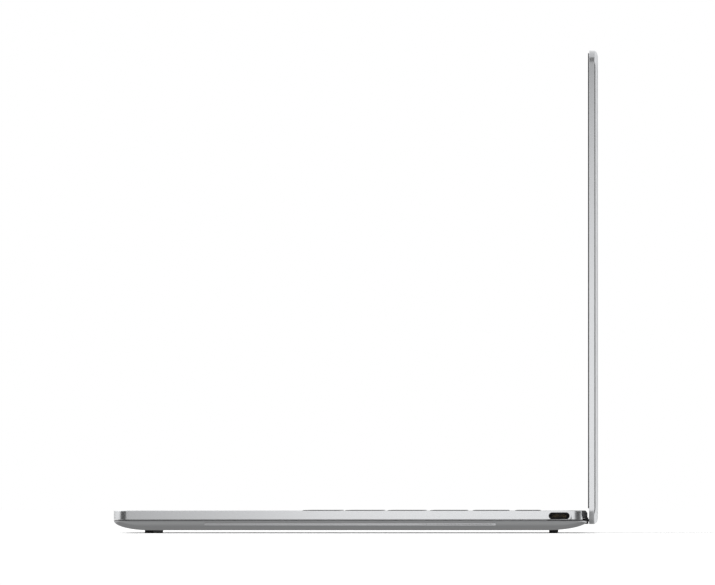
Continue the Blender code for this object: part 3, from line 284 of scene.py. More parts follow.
# ---- finishes ----

# gives a node's inputs their values, or links them where the value is another node's socket
def feed(tree, target, entries):
    for key, value in entries.items():
        if isinstance(value, bpy.types.NodeSocket):
            tree.links.new(value, target.inputs[key])
        else:
            target.inputs[key].default_value = value


def node(tree, kind, entries=None, **settings):
    made = tree.nodes.new("ShaderNode" + kind)
    for key, value in settings.items():
        setattr(made, key, value)
    feed(tree, made, entries or {})
    return made


def maths(tree, operation, *values, **settings):
    return node(tree, "Math", dict(enumerate(values)), operation=operation, **settings).outputs[0]


def mixed(tree, share, first, second):
    return node(tree, "Mix", {"Factor": share, 6: first, 7: second}, data_type="RGBA").outputs[2]


def bumped(tree, height, strength, distance):
    return node(tree, "Bump", {"Height": height, "Strength": strength, "Distance": distance}).outputs[0]


def objectPlace(tree):
    return node(tree, "TexCoord").outputs["Object"]


def cloud(tree, scale, detail, distortion=0.0):
    entries = {"Vector": objectPlace(tree), "Scale": scale, "Detail": detail, "Distortion": distortion}
    return node(tree, "TexNoise", entries).outputs["Fac"]


# a ramp of grey levels at places from 0 to 1
def greyRamp(tree, value, stops):
    ramp = node(tree, "ValToRGB", {"Fac": value})
    elements = ramp.color_ramp.elements
    while len(elements) > 1:
        elements.remove(elements[-1])
    for i, (place, level) in enumerate(stops):
        stop = elements.new(place) if i else elements[0]
        stop.position = place
        stop.color = (level, level, level, 1)
    return ramp.outputs["Color"]


def newGroup(name, inputs, outputs):
    group = bpy.data.node_groups.new(name, "ShaderNodeTree")
    for label, value in inputs.items():
        kind = "NodeSocketColor" if isinstance(value, tuple) else "NodeSocketFloat"
        socket = group.interface.new_socket(name=label, in_out="INPUT", socket_type=kind)
        socket.default_value = value
    for label, kind in outputs.items():
        group.interface.new_socket(name=label, in_out="OUTPUT", socket_type="NodeSocket" + kind)
    given, result = group.nodes.new("NodeGroupInput"), group.nodes.new("NodeGroupOutput")
    return group, given.outputs, result


# fine even grain: a roughness that wanders a little, and a normal
def grainGroup():
    inputs = {"Scale": 4000.0, "Roughness": 0.3, "Wander": 0.05, "Depth": 0.1}
    group, given, result = newGroup("fineGrain", inputs, {"Roughness": "Float", "Normal": "Vector"})
    fine = cloud(group, given["Scale"], 2.0)
    both = maths(group, "ADD", maths(group, "MULTIPLY", fine, 0.5), cloud(group, 24.0, 3.0))
    wander = maths(group, "MULTIPLY", maths(group, "SUBTRACT", both, 0.75), given["Wander"])
    rough = maths(group, "ADD", wander, given["Roughness"])
    feed(group, result, {"Roughness": rough, "Normal": bumped(group, fine, given["Depth"], 0.04 * mm)})
    return group


# faint marks from handling, from 0 to 1
def smudgeGroup():
    group, given, result = newGroup("handlingMarks", {"Scale": 18.0}, {"Mask": "Float"})
    marks = greyRamp(group, cloud(group, given["Scale"], 6.0, 0.6), ((0.48, 0), (0.72, 1)))
    feed(group, result, {"Mask": marks})
    return group


# two colours mixed by a slow cloud
def mottleGroup():
    plain = (0.5, 0.5, 0.5, 1)
    inputs = {"Scale": 60.0, "One": plain, "Other": plain}
    group, given, result = newGroup("colourMottle", inputs, {"Color": "Color"})
    colour = mixed(group, cloud(group, given["Scale"], 5.0), given["One"], given["Other"])
    feed(group, result, {"Color": colour})
    return group


fineGrain = grainGroup()
handlingMarks = smudgeGroup()
colourMottle = mottleGroup()


def useGroup(tree, group, **values):
    made = tree.nodes.new("ShaderNodeGroup")
    made.node_tree = group
    feed(tree, made, values)
    return made.outputs


def grained(tree, scale, roughness, wander, depth=0.0):
    return useGroup(tree, fineGrain, Scale=scale, Roughness=roughness, Wander=wander, Depth=depth)


def mottled(tree, scale, one, other):
    return useGroup(tree, colourMottle, Scale=scale, One=(*one, 1), Other=(*other, 1))["Color"]


# roughness lowered or raised where hands have been
def handled(tree, grain, scale, change):
    marks = useGroup(tree, handlingMarks, Scale=scale)
    return maths(tree, "MULTIPLY_ADD", marks["Mask"], change, grain["Roughness"])


def newMaterial(name, values):
    material = bpy.data.materials.new(name)
    material.use_nodes = True
    tree = material.node_tree
    shader = tree.nodes["Principled BSDF"]
    feed(tree, shader, values)
    return material, tree, shader


def dress(tree, shader, colour, roughness, normal):
    feed(tree, shader, {"Base Color": colour, "Roughness": roughness, "Normal": normal})


# a grained finish in two near colours
def grainedFinish(name, one, other, roughness, metallic, scale, wander, depth, mottle, specular=0.5):
    material, tree, shader = newMaterial(name, {"Metallic": metallic, "Specular IOR Level": specular})
    grain = grained(tree, scale, roughness, wander, depth)
    dress(tree, shader, mottled(tree, mottle, one, other), grain["Roughness"], grain["Normal"])
    return material


# for each finish: its name, two near colours, roughness, metal share,
# the grain's scale, wander and depth, and the mottle's scale
brightMetal = ((0.80, 0.81, 0.825), (0.775, 0.785, 0.80))
aluminium = grainedFinish("fine milled aluminium", *brightMetal, 0.25, 1.0, 5000, 0.04, 0.05, 14.0)
blastedAluminium = grainedFinish("bead blasted aluminium", *brightMetal, 0.42, 1.0, 4200, 0.05, 0.12, 14.0)
hullAluminium = grainedFinish(
    "bead blasted underside", (0.79, 0.80, 0.81), (0.765, 0.775, 0.785), 0.3, 1.0, 5000, 0.05, 0.06, 16.0
)
grilleAluminium = grainedFinish(
    "drilled grille metal", (0.56, 0.565, 0.575), (0.52, 0.525, 0.535), 0.32, 1.0, 6000, 0.05, 0.05, 30.0
)
darkPlastic = grainedFinish(
    "satin black moulding", (0.046, 0.046, 0.048), (0.054, 0.054, 0.056), 0.42, 0.0, 3800, 0.10, 0.14, 90.0
)
socketPlastic = grainedFinish(
    "socket moulding", (0.010, 0.010, 0.011), (0.014, 0.014, 0.015), 0.6, 0.0, 5000, 0.08, 0.08, 200.0
)
keyPlastic = grainedFinish(
    "soft matt key caps", (0.030, 0.031, 0.034), (0.038, 0.039, 0.042), 0.52, 0.0, 5200, 0.10, 0.12, 120.0, 0.25
)
legendInk = grainedFinish(
    "light legend ink", (0.70, 0.71, 0.73), (0.62, 0.63, 0.65), 0.5, 0.0, 6000, 0.08, 0.05, 400.0
)
rubber = grainedFinish(
    "matt foot rubber", (0.014, 0.014, 0.015), (0.026, 0.026, 0.027), 0.78, 0.0, 2600, 0.12, 0.35, 70.0
)
gasketRubber = grainedFinish(
    "smooth gasket rubber", (0.006, 0.006, 0.0065), (0.009, 0.009, 0.010), 0.6, 0.0, 3600, 0.10, 0.15, 90.0
)
# painted shade: a dark grey for the lip inside the seam and the hull's band next to it, standing for the shade
# in the seam
seamShadePaint = grainedFinish(
    "grey seam foam", (0.055, 0.055, 0.058), (0.075, 0.075, 0.078), 0.7, 0.0, 1800, 0.10, 0.30, 90.0
)
gold = grainedFinish(
    "gold contacts", (0.60, 0.44, 0.20), (0.52, 0.37, 0.16), 0.3, 1.0, 9000, 0.10, 0.05, 900.0
)
copper = grainedFinish(
    "dull copper", (0.80, 0.43, 0.27), (0.62, 0.31, 0.19), 0.32, 1.0, 1800, 0.16, 0.10, 55.0
)
displayStack = grainedFinish(
    "laminated display stack", (0.030, 0.030, 0.033), (0.050, 0.050, 0.054), 0.45, 0.0, 1500, 0.15, 0.08, 40.0
)


# etched glass of the touchpad: lies close to the metal round it
def makePadGlass():
    coat = {"Metallic": 0.7, "Coat Weight": 0.25, "Coat Roughness": 0.3}
    material, tree, shader = newMaterial("etched pad glass", coat)
    grain = grained(tree, 6500, 0.38, 0.08, 0.04)
    colour = mottled(tree, 20.0, (0.56, 0.57, 0.585), (0.535, 0.545, 0.56))
    dress(tree, shader, colour, handled(tree, grain, 26.0, -0.06), grain["Normal"])
    return material


# screen glass: black border ink round a barely lighter display that is switched off
def makeScreenGlass(low, high, soft=0.15 * mm):
    material, tree, shader = newMaterial("screen glass", {"IOR": 1.5})
    x, _, z = node(tree, "SeparateXYZ", {"Vector": objectPlace(tree)}).outputs
    steps = []
    for place, floor, ceiling in ((x, low[0], high[0]), (z, low[1], high[1])):
        away = maths(tree, "ABSOLUTE", maths(tree, "SUBTRACT", place, (floor + ceiling) / 2))
        inside = maths(tree, "SUBTRACT", (ceiling - floor) / 2, away)
        steps.append(maths(tree, "DIVIDE", inside, soft, use_clamp=True))
    inside = maths(tree, "MULTIPLY", *steps)
    colour = mixed(tree, inside, (0.0035, 0.0035, 0.0038, 1), (0.0085, 0.0088, 0.0100, 1))
    rough = handled(tree, grained(tree, 7000, 0.045, 0.02), 14.0, 0.05)
    feed(tree, shader, {"Base Color": colour, "Roughness": rough})
    return material


# steel brushed along one axis
def makeBrushedSteel(name, one, other, roughness, along, finest=2600.0, longest=45.0, wander=0.18):
    material, tree, shader = newMaterial(name, {"Metallic": 1.0})
    scale = [finest, finest, finest]
    scale[along] = longest
    stretch = node(tree, "Mapping", {"Vector": objectPlace(tree), "Scale": scale}).outputs["Vector"]
    strands = node(tree, "TexNoise", {"Vector": stretch, "Scale": 1.0, "Detail": 3.0}).outputs["Fac"]
    colour = mixed(tree, strands, (*one, 1), (*other, 1))
    rough = maths(tree, "MULTIPLY_ADD", strands, wander, roughness - wander / 2)
    dress(tree, shader, colour, rough, bumped(tree, strands, 0.12, 0.03 * mm))
    return material


# solder mask with tracks under it and plated holes
def makeCircuitBoard():
    material, tree, shader = newMaterial("circuit board", {})
    place = objectPlace(tree)
    track = {"Vector": place, "Scale": 330.0, "Mortar Size": 0.035, "Mortar": (0.035, 0.150, 0.080, 1)}
    mask = {"Color1": (0.010, 0.050, 0.030, 1), "Color2": (0.013, 0.062, 0.036, 1)}
    laying = {"offset": 0.37, "offset_frequency": 3, "squash": 0.6, "squash_frequency": 4}
    tracks = node(tree, "TexBrick", {**track, **mask}, **laying).outputs
    holes = node(tree, "TexVoronoi", {"Vector": place, "Scale": 420.0}, feature="F1").outputs["Distance"]
    dots = maths(tree, "LESS_THAN", holes, 0.16)
    colour = mixed(tree, dots, tracks["Color"], (0.72, 0.52, 0.24, 1))
    rough = grained(tree, 2500, 0.36, 0.1)["Roughness"]
    dress(tree, shader, colour, rough, bumped(tree, tracks["Fac"], 0.3, 0.04 * mm))
    feed(tree, shader, {"Metallic": dots})
    return material


# the thin black pouch round a cell, a little creased
def makeCellWrap():
    material, tree, shader = newMaterial("creased cell wrap", {"Coat Weight": 0.2, "Coat Roughness": 0.35})
    entries = {"Vector": objectPlace(tree), "Scale": 55.0}
    creases = node(tree, "TexVoronoi", entries, feature="DISTANCE_TO_EDGE").outputs["Distance"]
    height = greyRamp(tree, creases, ((0, 0), (0.12, 1)))
    colour = mottled(tree, 45.0, (0.030, 0.030, 0.033), (0.052, 0.052, 0.057))
    rough = grained(tree, 1800, 0.44, 0.12)["Roughness"]
    dress(tree, shader, colour, rough, bumped(tree, height, 0.25, 0.1 * mm))
    return material


padGlass = makePadGlass()
brushedSteel = makeBrushedSteel("brushed steel", (0.58, 0.58, 0.59), (0.46, 0.46, 0.47), 0.3, 0)
dullSteel = makeBrushedSteel("dull stamped steel", (0.40, 0.40, 0.41), (0.32, 0.32, 0.33), 0.42, 1)
# painted shade: the sockets' steel shells are made near black, standing for the shade deep inside the ports
portShadeSteel = makeBrushedSteel(
    "darkened socket steel", (0.075, 0.075, 0.078), (0.055, 0.055, 0.058), 0.45, 1
)
circuitBoard = makeCircuitBoard()
cellWrap = makeCellWrap()
print("finishes mixed")


# ---- places taken from the CAD ----

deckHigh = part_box("deck")[1]
coverLow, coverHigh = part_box("bottom_cover")
lidLow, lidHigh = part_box("lid_shell")
glassLow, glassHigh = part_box("cover_glass")
gasketLow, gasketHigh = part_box("glass_gasket")
padLow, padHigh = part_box("touchpad")
hinge = Vector(next(j["pos_m"] for j in frame["joints"] if j["name"] == "lid_hinge"))
sides = {"left": -1, "right": 1}

body = {
    "half": deckHigh.x,
    "front": coverLow.y,
    "rear": coverHigh.y,
    "top": deckHigh.z,
    "corner": 6.8 * mm,
    "gap": 0.3 * mm,
    "footHeight": 1.25 * mm,
    "hullHeight": 4.2 * mm,
}
seam = body["footHeight"] + body["hullHeight"]
deckBottom = seam + body["gap"]

screwSpots = []
for number in range(1, 7):
    low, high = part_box(f"bottom_screw_{number}")
    screwSpots.append(((low.x + high.x) / 2, (low.y + high.y) / 2))


# ---- deck ----

deck = {
    "plate": 0.9 * mm,
    "wall": 1.6 * mm,
    "topEdge": 0.22 * mm,
    "bottomEdge": 0.12 * mm,
    "windowRoom": 0.35 * mm,
    "windowCorner": 1.5 * mm,
    "padRoom": 0.3 * mm,
    "padCorner": 2.3 * mm,
    "padDepth": 2 * mm,
    "postRadius": 2.2 * mm,
    "postFloor": 2 * mm,
    "screwHole": (1.05 * mm, -0.45 * mm, 5.65 * mm),  # radius, bottom and top
}
port = {
    "width": 8.7 * mm,
    "height": 2.8 * mm,
    "fromRear": 11.9 * mm,
    "belowDeck": 2.2 * mm,
    "lip": 0.16 * mm,
    "depth": 6 * mm,
    "relief": 0.3 * mm,  # room round the socket's shell
    "reliefDepth": 7.9 * mm,
}
portY = body["rear"] - port["fromRear"]
portZ = body["top"] - port["belowDeck"]
trim = {
    "depth": 8.0 * mm,
    "wall": 0.9 * mm,
    "swing": 3.36 * mm,
    "fromSide": 2.2 * mm,
    "endDepth": 2.05 * mm,
    "endToe": 0.6 * mm,
    "endUpright": 1.2 * mm,
    "endLength": 9.0 * mm,
    "hingeRoom": 2.85 * mm,
    "vents": 16,
    "ventPitch": 8.0 * mm,
    "ventSize": (5.6 * mm, 1.5 * mm),
    "ventCorner": 0.7 * mm,
}
keyboard = {
    "rows": (
        (1.25, 1, 1, 1.25, 5.5, 1, 1, 1, 1, 1),
        (2.25, 1, 1, 1, 1, 1, 1, 1, 1, 1, 1, 2.75),
        (1.75, 1, 1, 1, 1, 1, 1, 1, 1, 1, 1, 1, 2.25),
        (1.5, 1, 1, 1, 1, 1, 1, 1, 1, 1, 1, 1, 1, 1.5),
        (1, 1, 1, 1, 1, 1, 1, 1, 1, 1, 1, 1, 1, 2),
        (1,) * 15,
    ),
    "space": 2.8 * mm,
    "carrier": 0.3 * mm,
    "carrierDepth": 6.0 * mm,
}
# CAD node: row, first column, last column
keyGroups = {
    "left_modifier_keys": (0, 0, 3),
    "space_bar": (0, 4, 4),
    "right_modifier_keys": (0, 5, 6),
    "arrow_key_left": (0, 7, 7),
    "arrow_key_down": (0, 8, 8),
    "arrow_key_up": (0, 8, 8),
    "arrow_key_right": (0, 9, 9),
    "left_shift_key": (1, 0, 0),
    "lower_letter_keys": (1, 1, 10),
    "right_shift_key": (1, 11, 11),
    "home_letter_keys": (2, 0, 11),
    "enter_key": (2, 12, 12),
    "upper_letter_keys": (3, 0, 13),
    "number_keys": (4, 0, 12),
    "backspace_key": (4, 13, 13),
    "function_keys": (5, 0, 13),
    "power_button": (5, 14, 14),
}
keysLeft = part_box("function_keys")[0].x
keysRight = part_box("power_button")[1].x
keyUnit = (keysRight - keysLeft + keyboard["space"]) / len(keyboard["rows"][-1])


# the low x, high x, low y and high y of every cap in a group, and its top
def capPlaces(name):
    row, first, last = keyGroups[name]
    widths = keyboard["rows"][row]
    low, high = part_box(name)
    found = []
    for column in range(first, last + 1):
        start = keysLeft + keyUnit * sum(widths[:column])
        found.append((start, start + keyUnit * widths[column] - keyboard["space"], low.y, high.y))
    return found, high.z


# one cutter block for each window, all rounded at the corners
def windowCutters():
    half = 5 * mm
    corner = deck["windowCorner"]
    master = softBlock("windowCutter", (-half, -half, -mm), (half, half, mm), corner, steps=6)
    cutters = []
    for name in keyGroups:
        for lowX, highX, lowY, highY in capPlaces(name)[0]:
            extra = 2 * deck["windowRoom"] - 2 * half
            cutter = twin(master)
            spread(cutter, 0, highX - lowX + extra)
            spread(cutter, 1, highY - lowY + extra)
            cutter.location = ((lowX + highX) / 2, (lowY + highY) / 2, body["top"])
            cutters.append(cutter)
    bpy.data.objects.remove(master)
    return joinAll("windowCutters", cutters)


# a slot-shaped bar through a side wall at the port's height
def portBar(fromX, toX):
    width, height = port["width"], port["height"]
    low = (min(fromX, toX), portY - width / 2, portZ - height / 2)
    high = (max(fromX, toX), portY + width / 2, portZ + height / 2)
    return softBlock("portCut", low, high, height / 2 - 0.01 * mm, axis=0)


def isPortLip(edge, wallX):
    room = Vector((0, port["width"] / 2 + 0.01 * mm, port["height"] / 2 + 0.01 * mm))
    if not edgeAt(edge, 0, wallX) or len(edge.link_faces) != 2:
        return False
    if any(abs(v.co.y - portY) > room.y or abs(v.co.z - portZ) > room.z for v in edge.verts):
        return False
    first, second = edge.link_faces
    return abs(first.normal.x * second.normal.x) < 0.5


# the front edge of the trim's corner end, from the deck down
def trimEndEdge(room):
    top, bottom = body["top"], deckBottom
    front = body["rear"] - trim["endDepth"] - room
    run = trim["endDepth"] - trim["endToe"]
    bend = top - trim["endUpright"]
    curve = arcPoints((0, 0), 1, 0, 90, 14)
    return [(front, top)] + [(front + run * (1 - c), bend - (bend - bottom) * s) for c, s in curve]


def hingeRooms(ahead):
    rooms = []
    room = 2 * body["gap"]
    for side in sides:
        low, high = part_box(f"hinge_arm_{side}")
        lowest = (low.x - room, hinge.y - ahead, -mm)
        rooms.append(block("hingeRoom", lowest, (high.x + room, body["rear"] + mm, body["top"] + mm)))
    return joinAll("hingeRooms", rooms)


def makeDeck():
    half, front, rear, top, gap = (body[key] for key in ("half", "front", "rear", "top", "gap"))
    shell = softBlock("deckShell", (-half, front, deckBottom), (half, rear, top), body["corner"], steps=24)
    roundRim(shell, 2, top, deck["topEdge"], 3)
    roundRim(shell, 2, deckBottom, deck["bottomEdge"], 2)
    pick(shell, "FACE", lambda f: faceLooks(f, (0, 0, -1), 0.999))
    bpy.ops.mesh.inset(thickness=deck["wall"] - deck["bottomEdge"])
    ceiling = top - deck["plate"]
    bpy.ops.mesh.extrude_region_move(TRANSFORM_OT_translate={"value": (0, 0, ceiling - deckBottom)})
    closeMesh()
    postBottom = body["footHeight"] + deck["postFloor"] + gap
    carve(shell, drums(screwSpots, deck["postRadius"], postBottom, ceiling + deck["plate"] / 2), "UNION")
    carve(shell, drums(screwSpots, *deck["screwHole"], sides=20))
    carve(shell, windowCutters())
    room = deck["padRoom"]
    cutLow = (padLow.x - room, padLow.y - room, top - deck["padDepth"])
    carve(shell, softBlock("padCut", cutLow, (padHigh.x + room, padHigh.y + room, top + mm), deck["padCorner"]))
    for side, sign in sides.items():
        wallX, inner = sign * half, sign * (half - deck["wall"])
        carve(shell, portBar(wallX - sign * port["depth"], wallX + sign * mm))
        low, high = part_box(f"usb_c_port_{side}")
        near, far = sorted((inner, inner - sign * port["reliefDepth"]))
        relief = port["relief"]
        reliefLow = (near, low.y - relief, low.z - relief)
        carve(shell, block("portRelief", reliefLow, (far, high.y + relief, high.z + relief)))
        roundEdges(shell, lambda e: isPortLip(e, wallX), port["lip"], 3)
    end = half - trim["fromSide"] + gap
    ahead = rear - trim["depth"] - gap
    carve(shell, block("trimRecess", (-end, ahead, deckBottom - mm), (end, rear + mm, top + mm)))
    edge = trimEndEdge(gap)
    back = rear + mm
    corner = [(back, top + mm), (edge[0][0], top + mm)] + edge
    corner += [(edge[-1][0], deckBottom - mm), (back, deckBottom - mm)]
    carve(shell, sectionBar("cornerRecess", corner, -half - mm, half + mm))
    complete(shell, aluminium, "base", "deck")
    paintFlats(shell, blastedAluminium, 2)


makeDeck()
print("deck done")


# ---- bottom cover ----

cover = {
    "wall": 0.8 * mm,
    "runFront": 14.7 * mm,
    "runRear": 17.9 * mm,
    "runSide": 11.0 * mm,
    "bottomRadius": 12.0 * mm,
    "levels": 24,
    "bossRadius": 3.0 * mm,
    "bossHeight": 1.2 * mm,
    "seat": (1.95 * mm, 0.9 * mm),  # radius and depth round a screw's head
    "screwHole": (1.05 * mm, -0.1 * mm, 5.3 * mm),
    "lipInset": 1.95 * mm,
    "lipWall": 0.6 * mm,
    "lipFoot": 1.2 * mm,
    "lipTop": 6.5 * mm,
    "lipGapAtPort": (9 * mm, 5 * mm),  # inwards, and to each side of the port
    "lipGapAtRear": 9.2 * mm,
    "hingeRoom": 1.65 * mm,
    "grilleRoom": (1.6 * mm, 0.3 * mm, 0.3 * mm),
    "grilleCorner": 0.64 * mm,
    "seamShade": 0.3 * mm,
}
intake = {
    "slot": (1.6 * mm, 9.0 * mm),
    "corner": 0.79 * mm,
    "pitch": 5.0 * mm,
    "count": 26,
    "fromRear": (45.4 * mm, 57.4 * mm),
}


def coverRing(turn):
    angle = turn * math.pi / 2
    run = 1 - math.cos(angle)
    low = (-body["half"] + cover["runSide"] * run, body["front"] + cover["runFront"] * run)
    high = (body["half"] - cover["runSide"] * run, body["rear"] - cover["runRear"] * run)
    radius = body["corner"] + (cover["bottomRadius"] - body["corner"]) * run
    height = seam - body["hullHeight"] * math.sin(angle)
    return [(x, y, height) for x, y in roundedPath(low, high, radius, 16)]


# the base's outline moved in, at each of some heights
def insetPlans(name, inset, heights, steps=16):
    low = (-body["half"] + inset, body["front"] + inset)
    high = (body["half"] - inset, body["rear"] - inset)
    path = roundedPath(low, high, body["corner"] - inset, steps)
    return pulledRings(name, [[(x, y, z) for x, y in path] for z in heights])


# air slots through the bottom, their ends rounded
def intakeCutters():
    width, length = intake["slot"]
    top = body["footHeight"] + 2 * mm
    low, high = (-width / 2, -length / 2, 0), (width / 2, length / 2, top)
    master = softBlock("slotCutter", low, high, intake["corner"], steps=4)
    cutters = []
    for fromRear in intake["fromRear"]:
        for i in range(intake["count"]):
            x = (i - (intake["count"] - 1) / 2) * intake["pitch"]
            cutters.append(twin(master, (x, body["rear"] - fromRear, 0)))
    bpy.data.objects.remove(master)
    return joinAll("slotCutters", cutters)


def makeCover():
    half, rear, foot = body["half"], body["rear"], body["footHeight"]
    levels = cover["levels"]
    hull = pulledRings("bottomShell", [coverRing(i / levels) for i in range(levels + 1)])
    pick(hull, "FACE", lambda f: faceLooks(f, (0, 0, 1), 0.999))
    bpy.ops.mesh.delete(type="ONLY_FACE")
    closeMesh()
    applied(hull, "SOLIDIFY", thickness=cover["wall"], offset=-1, use_even_offset=True)
    inner = cover["lipInset"] + cover["lipWall"]
    lip = insetPlans("lip", cover["lipInset"], (seam - cover["lipFoot"], cover["lipTop"]))
    carve(lip, insetPlans("lipRoom", inner, (seam - 2 * mm, cover["lipTop"] + mm)))
    inwards, aside = cover["lipGapAtPort"]
    clear = 9 * mm  # a height above the lip
    for sign in sides.values():
        near, far = sorted((sign * half, sign * (half - inwards)))
        carve(lip, block("portGap", (near, portY - aside, 0), (far, portY + aside, clear)))
    carve(lip, block("rearGap", (-half, rear - cover["lipGapAtRear"], 0), (half, rear + mm, clear)))
    carve(hull, lip, "UNION")
    top = foot + cover["wall"] + cover["bossHeight"]
    carve(hull, drums(screwSpots, cover["bossRadius"], foot + cover["wall"] / 2, top), "UNION")
    radius, depth = cover["seat"]
    carve(hull, drums(screwSpots, radius, foot - depth, foot + depth))
    carve(hull, drums(screwSpots, *cover["screwHole"], sides=20))
    for name in ("front_foot", "rear_foot"):
        low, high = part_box(name)
        room = Vector((body["gap"],) * 3)
        low, high = low - room, high + room
        low.z = 0
        carve(hull, softBlock("footGroove", low, high, (high.y - low.y) / 2 - 0.05 * mm))
    for side in sides:
        low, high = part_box(f"speaker_grille_{side}")
        room = Vector(cover["grilleRoom"])
        carve(hull, softBlock("grilleSlot", low - room, high + room, cover["grilleCorner"], axis=0, steps=5))
    carve(hull, intakeCutters())
    carve(hull, hingeRooms(cover["hingeRoom"]))
    complete(hull, hullAluminium, "base", "bottom_cover", level=False)
    # painted shade: the lip inside the seam's gap and the hull faces in the narrow band below the seam take the
    # dark grey, so the seam reads as a dark line
    hull.data.materials.append(seamShadePaint)
    reach = half - cover["lipInset"] + 0.01 * mm
    for face in hull.data.polygons:
        corners = [hull.data.vertices[i].co for i in face.vertices]
        lowest = min(corner.z for corner in corners)
        isLip = lowest > seam - 0.02 * mm and max(abs(corner.x) for corner in corners) < reach
        face.material_index = int(isLip or lowest > seam - cover["seamShade"])


makeCover()
print("bottom cover done")


# ---- dark trim along the back ----

def trimSections():
    top, bottom, back = body["top"], deckBottom, body["rear"]
    swing, wall = trim["swing"], trim["wall"]
    ahead = back - trim["depth"]
    start = math.degrees(math.acos((back - hinge.y) / swing))
    end = math.degrees(math.asin((top - hinge.z) / swing))
    outside = [(back, bottom)] + arcPoints((hinge.y, hinge.z), swing, start, end, 12)
    inside = [(ahead, top - wall), (back - wall, top - wall), (back - wall, bottom)]
    return outside + [(ahead, top)] + inside, outside + trimEndEdge(0)


def makeTrim():
    strip, end = trimSections()
    reach = body["half"] - trim["fromSide"]
    bar = sectionBar("rearTrim", strip, -reach, reach)
    for sign in sides.values():
        near, far = sorted((sign * (body["half"] - trim["endLength"]), sign * body["half"]))
        carve(bar, sectionBar("trimEnd", end, near, far), "UNION")
    carve(bar, insetPlans("plan", 0, (0, body["top"] + mm), 24), "INTERSECT")
    carve(bar, hingeRooms(trim["hingeRoom"]))
    width, height = trim["ventSize"]
    vents = []
    for i in range(trim["vents"]):
        x = (i - (trim["vents"] - 1) / 2) * trim["ventPitch"]
        low = (x - width / 2, body["rear"] - 2 * trim["wall"], hinge.z - height / 2)
        high = (x + width / 2, body["rear"] + trim["wall"], hinge.z + height / 2)
        vents.append(softBlock("vent", low, high, trim["ventCorner"], axis=1, steps=4))
    carve(bar, joinAll("vents", vents))
    complete(bar, darkPlastic, "base", "rear_trim")


makeTrim()
print("trim done")


# ---- feet, grilles, screws ----

footEdge = 0.45 * mm
grille = {
    "pitch": 1.5 * mm,
    "hole": 0.36 * mm,
    "depth": 0.5 * mm,
    "fill": 0.27 * mm,
    "corner": 0.6 * mm,
    "edge": 0.08 * mm,
    "endRoom": 2 * mm,
}
screw = {
    "head": 1.6 * mm,
    "headHeight": 0.5 * mm,
    "edge": 0.12 * mm,
    "shank": 0.7 * mm,
    "tipEdge": 0.15 * mm,
    "drive": 0.75 * mm,
    "driveRange": (-0.3 * mm, 0.32 * mm),
    "lobeShare": 0.16,
}


def makeFoot(node, name):
    low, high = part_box(node)
    foot = softBlock(name, low, high, (high.y - low.y) / 2 - 0.05 * mm)
    roundRim(foot, 2, low.z, footEdge, 4)
    complete(foot, rubber, "base", node, 50, level=False)


def makeGrille(side):
    node = f"speaker_grille_{side}"
    low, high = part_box(node)
    room = Vector((0, grille["fill"], grille["fill"]))
    low, high = low - room, high + room
    strip = softBlock(f"speakerStrip{side.capitalize()}", low, high, grille["corner"], axis=0, steps=5)
    face = low.x if side == "left" else high.x
    roundRim(strip, 0, face, grille["edge"], 2)
    count = int((high.y - low.y - grille["endRoom"]) / grille["pitch"])
    start = (low.y + high.y) / 2 - (count - 1) * grille["pitch"] / 2
    middle = (low.z + high.z) / 2
    spots = [(face, start + i * grille["pitch"], middle) for i in range(count)]
    turn = (0, math.pi / 2, 0)
    holes = [drum("hole", spot, grille["hole"] / 2, 2 * grille["depth"], turn, 8) for spot in spots]
    carve(strip, joinAll("holes", holes))
    complete(strip, grilleAluminium, "base", node)


# a flat head with a six-lobed recess, over a plain shank
def makeScrew(number):
    node = f"bottom_screw_{number}"
    low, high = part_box(node)
    x, y = screwSpots[number - 1]
    tall = screw["headHeight"]
    head = drum(f"bottomScrew{number}", (x, y, low.z + tall / 2), screw["head"], tall)
    roundRim(head, 2, low.z, screw["edge"], 3)
    length = high.z - low.z - tall / 2
    shank = drum("shank", (x, y, high.z - length / 2), screw["shank"], length, sides=20)
    roundRim(shank, 2, high.z, screw["tipEdge"], 2)
    carve(head, shank, "UNION")
    lobes = []
    for i in range(24):
        turn = 2 * math.pi * i / 24
        reach = screw["drive"] * (1 + screw["lobeShare"] * math.cos(6 * turn))
        lobes.append((x + reach * math.cos(turn), y + reach * math.sin(turn)))
    depths = [low.z + depth for depth in screw["driveRange"]]
    carve(head, pulledRings("drive", [[(px, py, z) for px, py in lobes] for z in depths]))
    complete(head, brushedSteel, "base", node, level=False)


makeFoot("front_foot", "frontFoot")
makeFoot("rear_foot", "rearFoot")
for side in sides:
    makeGrille(side)
for number in range(1, 7):
    makeScrew(number)
print("feet, grilles and screws done")


# ---- charging sockets ----

socket = {
    "wall": 0.25 * mm,
    "mouthEdge": 0.06 * mm,
    "tongue": (6.7 * mm, 0.7 * mm, 5.0 * mm),
    "tongueEdge": 0.14 * mm,
    "contacts": 12,
    "contactSize": (0.28 * mm, 3.4 * mm, 0.05 * mm),
    "contactPitch": 0.5 * mm,
    "contactFromTip": 0.5 * mm,
}


